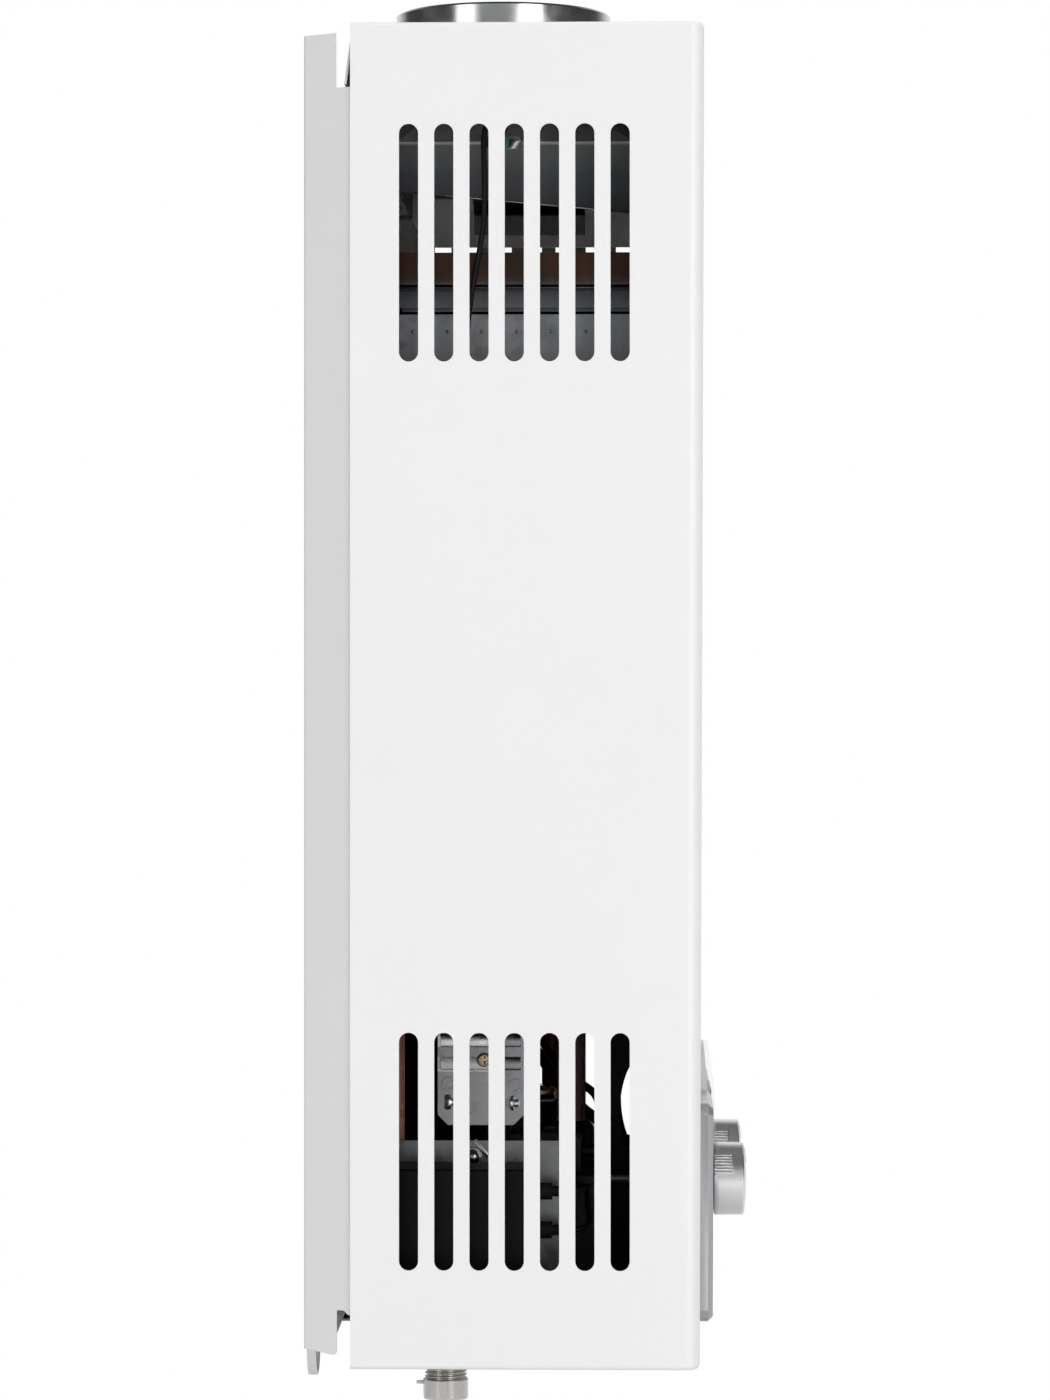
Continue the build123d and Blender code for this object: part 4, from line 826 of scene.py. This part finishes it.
def makeRivets():
    radius, height, sunk = rivets["radius"], rivets["height"], rivets["sunk"]
    dome = [(radius * cos(step * pi / 12), height * sin(step * pi / 12)) for step in range(6)]
    source = lathe("rivet", [(0, -sunk), (radius, -sunk), *dome, (0, height)], 32)
    heads = [placed(source, "panelRivets", (side * rivets["x"], rivets["y"], z), (-pi / 2, 0, 0))
             for side in (-1, 1) for z in rivets["rows"]]
    bpy.data.objects.remove(source)
    finished(gather("panelRivets", heads), finishes["panel_white"], "panel_white")


makeRivets()


# earth terminal on the battery bracket: a domed nut with its washer and lug

terminal = {
    "place": (-0.1312, -0.0892, 0.0956),
    "radius": 0.0035, "domeFrom": 0.0012, "domeShare": 0.9, "nutFrom": 0.0005,
    "washerRim": 0.0011, "washerHalf": 0.0004,
    "lug": (0.0008, 0.0022, 0.0110), "lugOffset": (-0.0006, -0.0042, 0.0040),
    "lugLean": -38, "lugEdge": 0.0003,
}


def makeTerminal():
    facts = terminal
    radius, half, start = facts["radius"], facts["washerHalf"], facts["domeFrom"]
    rim = radius + facts["washerRim"]
    tall = radius * facts["domeShare"]
    dome = [(radius * cos(step * pi / 12), start + tall * sin(step * pi / 12)) for step in range(7)]
    profile = [(0, -half), (rim, -half), (rim, half), (radius, facts["nutFrom"]), *dome[:-1],
               (0, dome[-1][1])]
    nut = latheAt("earthTerminal", profile, facts["place"], (0, -pi / 2, 0), 40)
    lugPlace = [value + step for value, step in zip(facts["place"], facts["lugOffset"])]
    lug = block(facts["lug"], lugPlace, (radians(facts["lugLean"]), 0, 0), facts["lugEdge"])
    finished(gather("earthTerminal", [nut, lug]), finishes["flue_steel"], "flue_steel")


makeTerminal()


# folded sheet edges: the hood's lower hem, the bright top edge of the battery bracket, and the thin
# flange that joins the shields over the return bends to the frame

hem = {"x": -0.1303, "rear": (-0.0536, 0.5658), "front": (-0.1672, 0.5552), "radius": 0.00042,
       "edge": 0.0002, "edgeAngle": 60}
bracketRim = {"radius": 0.0003, "inward": 0.0003, "down": 0.0002, "shorter": 0.002}
flange = {"inner": -0.1312, "overlap": 0.0001, "top": 0.5174, "thickness": 0.0004, "shorter": 0.001,
          "edge": 0.0001}


def makeHem():
    (rearY, rearZ), (frontY, frontZ) = hem["rear"], hem["front"]
    length = ((rearY - frontY) ** 2 + (rearZ - frontZ) ** 2) ** 0.5
    middle = (hem["x"], (rearY + frontY) / 2, (rearZ + frontZ) / 2)
    slope = atan2(rearZ - frontZ, rearY - frontY)
    item = rod(hem["radius"], length, middle, (slope - pi / 2, 0, 0), sides=12)
    item.name = "hoodHem"
    shaped(settle(item), "BEVEL", width=hem["edge"], segments=2,
           limit_method="ANGLE", angle_limit=radians(hem["edgeAngle"]))
    finished(item, finishes["flue_steel"], "flue_steel")


def makeBracketEdge():
    low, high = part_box("battery_bracket")
    middle = (low.x + bracketRim["inward"], (low.y + high.y) / 2, high.z - bracketRim["down"])
    length = high.y - low.y - bracketRim["shorter"]
    item = rod(bracketRim["radius"], length, middle, (pi / 2, 0, 0), sides=12)
    item.name = "bracketEdge"
    finished(settle(item), finishes["flue_steel"], "flue_steel")


def makeShieldFlange():
    low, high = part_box("bend_shields")
    inner, outer = flange["inner"], low.x + flange["overlap"]
    size = (inner - outer, high.y - low.y - flange["shorter"], flange["thickness"])
    middle = ((inner + outer) / 2, (low.y + high.y) / 2, flange["top"] - flange["thickness"] / 2)
    item = block(size, middle, edge=flange["edge"])
    item.name = "shieldFlange"
    finished(item, frameTint, "galvanised")


makeHem()
makeBracketEdge()
makeShieldFlange()


# a row of spot welds along the jacket, below the exchanger

welds = {"x": -0.13, "height": 0.4975, "first": -0.0600, "pitch": -0.0084, "count": 12,
         "radius": 0.0009, "flatness": 0.45}


def makeWelds():
    dots = []
    for index in range(welds["count"]):
        deselect()
        bpy.ops.mesh.primitive_uv_sphere_add(segments=16, ring_count=8, radius=welds["radius"])
        dot = bpy.context.object
        dot.scale = (welds["flatness"], 1, 1)
        dot.location = (welds["x"], welds["first"] + index * welds["pitch"], welds["height"])
        dots.append(settle(dot))
    finished(gather("jacketWelds", dots), finishes["galvanised"], "galvanised", angle=60)


makeWelds()
print("sheet edges and welds made")


# overheat cut-out: a green disc on a bare metal flange

cutout = {"flangeFrom": -0.1310}


def makeCutout():
    item = copyNode("thermal_cutout", "overheatDisc")
    dressTwice(item, finishes["cutout_green"], hangerZincRibHighlights,
               lambda face: face.center.x > cutout["flangeFrom"])
    finished(item, None, "cutout_green")
    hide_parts("thermal_cutout")


makeCutout()


# control bezel with a chamfer round its front edge, but not round the window

bezel = {"chamfer": 0.0019, "rimWidth": 0.009, "frontIs": -0.8, "sideIs": 0.3,
         "windowFrom": 0.1180, "windowHalf": 0.0435}


def makeBezel():
    item = copyNode("control_bezel", "bezelShell")
    low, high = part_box("control_bezel")

    def frontRim(middle, normals):
        front = [normal for normal in normals if normal.y < bezel["frontIs"]]
        side = [normal for normal in normals if abs(normal.y) < bezel["sideIs"]]
        if len(front) != 1 or len(side) != 1:
            return False
        outward = side[0].x * middle.x + side[0].z * (middle.z - (low.z + high.z) / 2) > 0
        nearWindow = middle.z > bezel["windowFrom"] and abs(middle.x) < bezel["windowHalf"]
        toRim = min(middle.x - low.x, high.x - middle.x, middle.z - low.z, high.z - middle.z)
        return outward and toRim < bezel["rimWidth"] and not nearWindow

    print("bezel rim edges", chooseEdges(item, frontRim))
    bpy.ops.mesh.bevel(offset=bezel["chamfer"], segments=1)
    bpy.ops.object.mode_set(mode="OBJECT")
    finished(item, finishes["bezel_silver"], "bezel_silver", angle=30)
    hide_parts("control_bezel")


makeBezel()


# knobs and their dials: marks and pictures printed on the bezel, a pointer on each knob

panel = {"y": -0.199, "slope": 0.0034375, "bezelDepth": 0.007, "knobX": 0.0645, "knobZ": 0.0787,
         "printDepth": 0.00007, "printSunk": 0.00002}
dial = {
    "radius": 0.0205, "turn": 135, "tickEvery": 45,                     # degrees either way
    "tick": (0.0010, 0.0028), "longTick": 1.25,
    "dropSize": 0.0024, "dropAbove": 0.0300, "dropTaper": 0.6, "dropHeight": 1.7,
    "flameLean": 0.18,                                                  # of the flame's tip
}
pointer = {"size": (0.0012, 0.0003, 0.0068), "y": -0.22302, "above": 0.0115, "lean": -5.7,
           "edge": 0.0001}


def turned(outline, angle, middle):
    return [(middle[0] + x * cos(angle) - z * sin(angle), middle[1] + x * sin(angle) + z * cos(angle))
            for x, z in outline]


def printMark(outline):
    y = panel["y"] - panel["bezelDepth"] + panel["printSunk"]
    return flatShape("mark", outline, y, panel["printDepth"], panel["slope"])


def drop(lean):
    points = []
    for step in range(32):
        angle = step * 2 * pi / 32
        x, z = sin(angle), -cos(angle)
        if z > 0:
            x *= (1 - z) ** dial["dropTaper"]
            z *= dial["dropHeight"]
        points.append((dial["dropSize"] * (x + lean * max(z, 0) ** 2), dial["dropSize"] * z))
    return points


def makeDial(name, side, lean):
    x, z = side * panel["knobX"], panel["knobZ"]
    width, length = dial["tick"]
    start = dial["radius"]
    marks = []
    for index, angle in enumerate(range(-dial["turn"], dial["turn"] + 1, dial["tickEvery"])):
        end = start + length * (1.0 if index % 3 else dial["longTick"])
        outline = [(-width / 2, start), (width / 2, start), (width / 2, end), (-width / 2, end)]
        marks.append(printMark(turned(outline, radians(angle), (x, z))))
    marks.append(printMark(turned(drop(lean), 0, (x, z + dial["dropAbove"]))))
    finished(gather(name, marks), markGrey, "bezel_silver")


def makeKnob(name, node):
    item = finished(mergedNode(node, name), finishes["knob_silver"], "knob_silver", node, 25)
    weighted(item)
    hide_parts(node)


def makePointer(name, side, body):
    middle = (side * panel["knobX"], pointer["y"], panel["knobZ"] + pointer["above"])
    item = block(pointer["size"], middle, (radians(pointer["lean"]), 0, 0), pointer["edge"])
    item.name = name
    finished(item, markGrey, "knob_silver", body)


makeKnob("flameKnobShell", "flame_knob")
makeKnob("waterKnobShell", "water_knob")
makeDial("flameDial", -1, dial["flameLean"])
makeDial("waterDial", 1, 0)
makePointer("flamePointer", -1, "flame_knob")
makePointer("waterPointer", 1, "water_knob")
print("dials printed")


# display: a grey frame, a clear lens over it, and a dark screen with lit digits between them

display = {
    "split": (0, -0.2053, 0.112), "tilt": 0.08,     # of the cut between frame and lens
    "frameEdge": 0.0003, "lensEdge": 0.0005, "edgeAngle": 40,
    "screen": (0.054, 0.0005, 0.030), "screenY": -0.2061, "screenZ": 0.1050, "screenEdge": 0.0001,
    "digits": "42", "digitsZ": 0.1077, "digitHeight": 0.0144, "digitWidth": 0.0076, "spacing": 0.0125,
    "bar": 0.0015, "barGap": 0.0004, "barDepth": 0.00008,
}
litBars = {"4": "bcfg", "2": "abdeg"}


def halfWindow(name, keepFront, edge):
    item = copyNode("display_window", name)
    facing = (0, -1, display["tilt"])
    edited(item, lambda: bpy.ops.mesh.bisect(
        plane_co=display["split"], plane_no=facing, use_fill=True,
        clear_inner=keepFront, clear_outer=not keepFront))
    edited(item, lambda: bpy.ops.mesh.normals_make_consistent(inside=False))
    return shaped(item, "BEVEL", width=edge, segments=3,
                  limit_method="ANGLE", angle_limit=radians(display["edgeAngle"]))


def digitBars(digit, middleX):
    tall, wide, point = display["digitHeight"], display["digitWidth"], display["bar"] / 2
    front = display["screenY"] - display["screen"][1]
    spots = {
        "a": (0, tall / 2, 0), "g": (0, 0, 0), "d": (0, -tall / 2, 0),
        "f": (-wide / 2, tall / 4, 1), "b": (wide / 2, tall / 4, 1),
        "e": (-wide / 2, -tall / 4, 1), "c": (wide / 2, -tall / 4, 1),
    }
    for letter in litBars[digit]:
        x, z, upright = spots[letter]
        half = ((tall / 2 if upright else wide) - display["barGap"]) / 2
        outline = [(-half, 0), (-half + point, point), (half - point, point),
                   (half, 0), (half - point, -point), (-half + point, -point)]
        place = (middleX + x, display["digitsZ"] + z)
        yield flatShape("bar", turned(outline, upright * pi / 2, place), front, display["barDepth"])


def makeDisplay():
    rim = halfWindow("windowFrame", False, display["frameEdge"])
    finished(rim, finishes["window_white"], "window_white")
    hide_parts("display_window")
    finished(halfWindow("windowLens", True, display["lensEdge"]), lensClear, "window_white")
    middle = (0, display["screenY"] - display["screen"][1] / 2, display["screenZ"])
    screen = block(display["screen"], middle, edge=display["screenEdge"])
    screen.name = "displayScreen"
    finished(screen, displayGlass, "board_dark")
    bars = []
    for index, digit in enumerate(display["digits"]):
        bars += digitBars(digit, (index - 0.5) * display["spacing"])
    finished(gather("displayDigits", bars), digitGlow, "window_white")


makeDisplay()
print("display made")


# world: plain white to the eye; metal mirrors white paper behind the heater, a pale wall behind the
# camera and a dim room, and matt surfaces get an even daylight

def lightWorld():
    world = bpy.data.worlds.new("studio")
    world.use_nodes = True
    bpy.context.scene.world = world
    background = world.node_tree.nodes["Background"]
    camera, glossy, through = rayKinds(Wire(background.outputs[0]))
    seen = camera.maths("MAXIMUM", camera, through)
    way = Wire(world.node_tree.nodes.new("ShaderNodeTexCoord").outputs["Generated"])
    paper = way.part(0).mapped(*studio["paperEdge"])
    ground = way.part(2).mapped(*studio["groundEdge"])
    wall = way.part(0).mapped(*studio["wallEdge"])
    lit = paper.maths("MAXIMUM", paper, ground)
    lit = lit.maths("MAXIMUM", lit, wall * studio["wallGlow"])
    mirrored = lit * (studio["paperGlow"] - studio["roomGlow"]) + studio["roomGlow"]
    strength = seen + (1 - seen) * (glossy * mirrored + (1 - glossy) * studio["daylight"])
    world.node_tree.links.new(strength.socket, background.inputs["Strength"])
    background.inputs["Color"].default_value = (1, 1, 1, 1)


lightWorld()


# floor: grey paper near the heater for its shadow, which fades into bright paper further out

def layFloor():
    bpy.ops.mesh.primitive_plane_add(size=studio["floorSize"], location=(0, 0, studio["floorHeight"]))
    floor = bpy.context.object
    floor.name = "floor"
    shade = (studio["floorShade"],) * 3
    material, place = startFinish("floorPaper", Base_Color=shade, Roughness=studio["floorRough"])
    tree = material.node_tree
    camera, glossy, through = rayKinds(place)
    distance = place.node("ShaderNodeVectorMath", {"operation": "LENGTH"}, {0: place}, 1)
    far = distance.mapped(*studio["floorFade"])
    glow = tree.nodes.new("ShaderNodeEmission")
    mix = tree.nodes.new("ShaderNodeMixShader")
    tree.links.new((far * (camera + glossy + through)).socket, mix.inputs[0])
    tree.links.new(tree.nodes["Principled BSDF"].outputs[0], mix.inputs[1])
    tree.links.new(glow.outputs[0], mix.inputs[2])
    tree.links.new(mix.outputs[0], tree.nodes["Material Output"].inputs[0])
    floor.data.materials.append(material)


deselect()
layFloor()
print("studio lit")
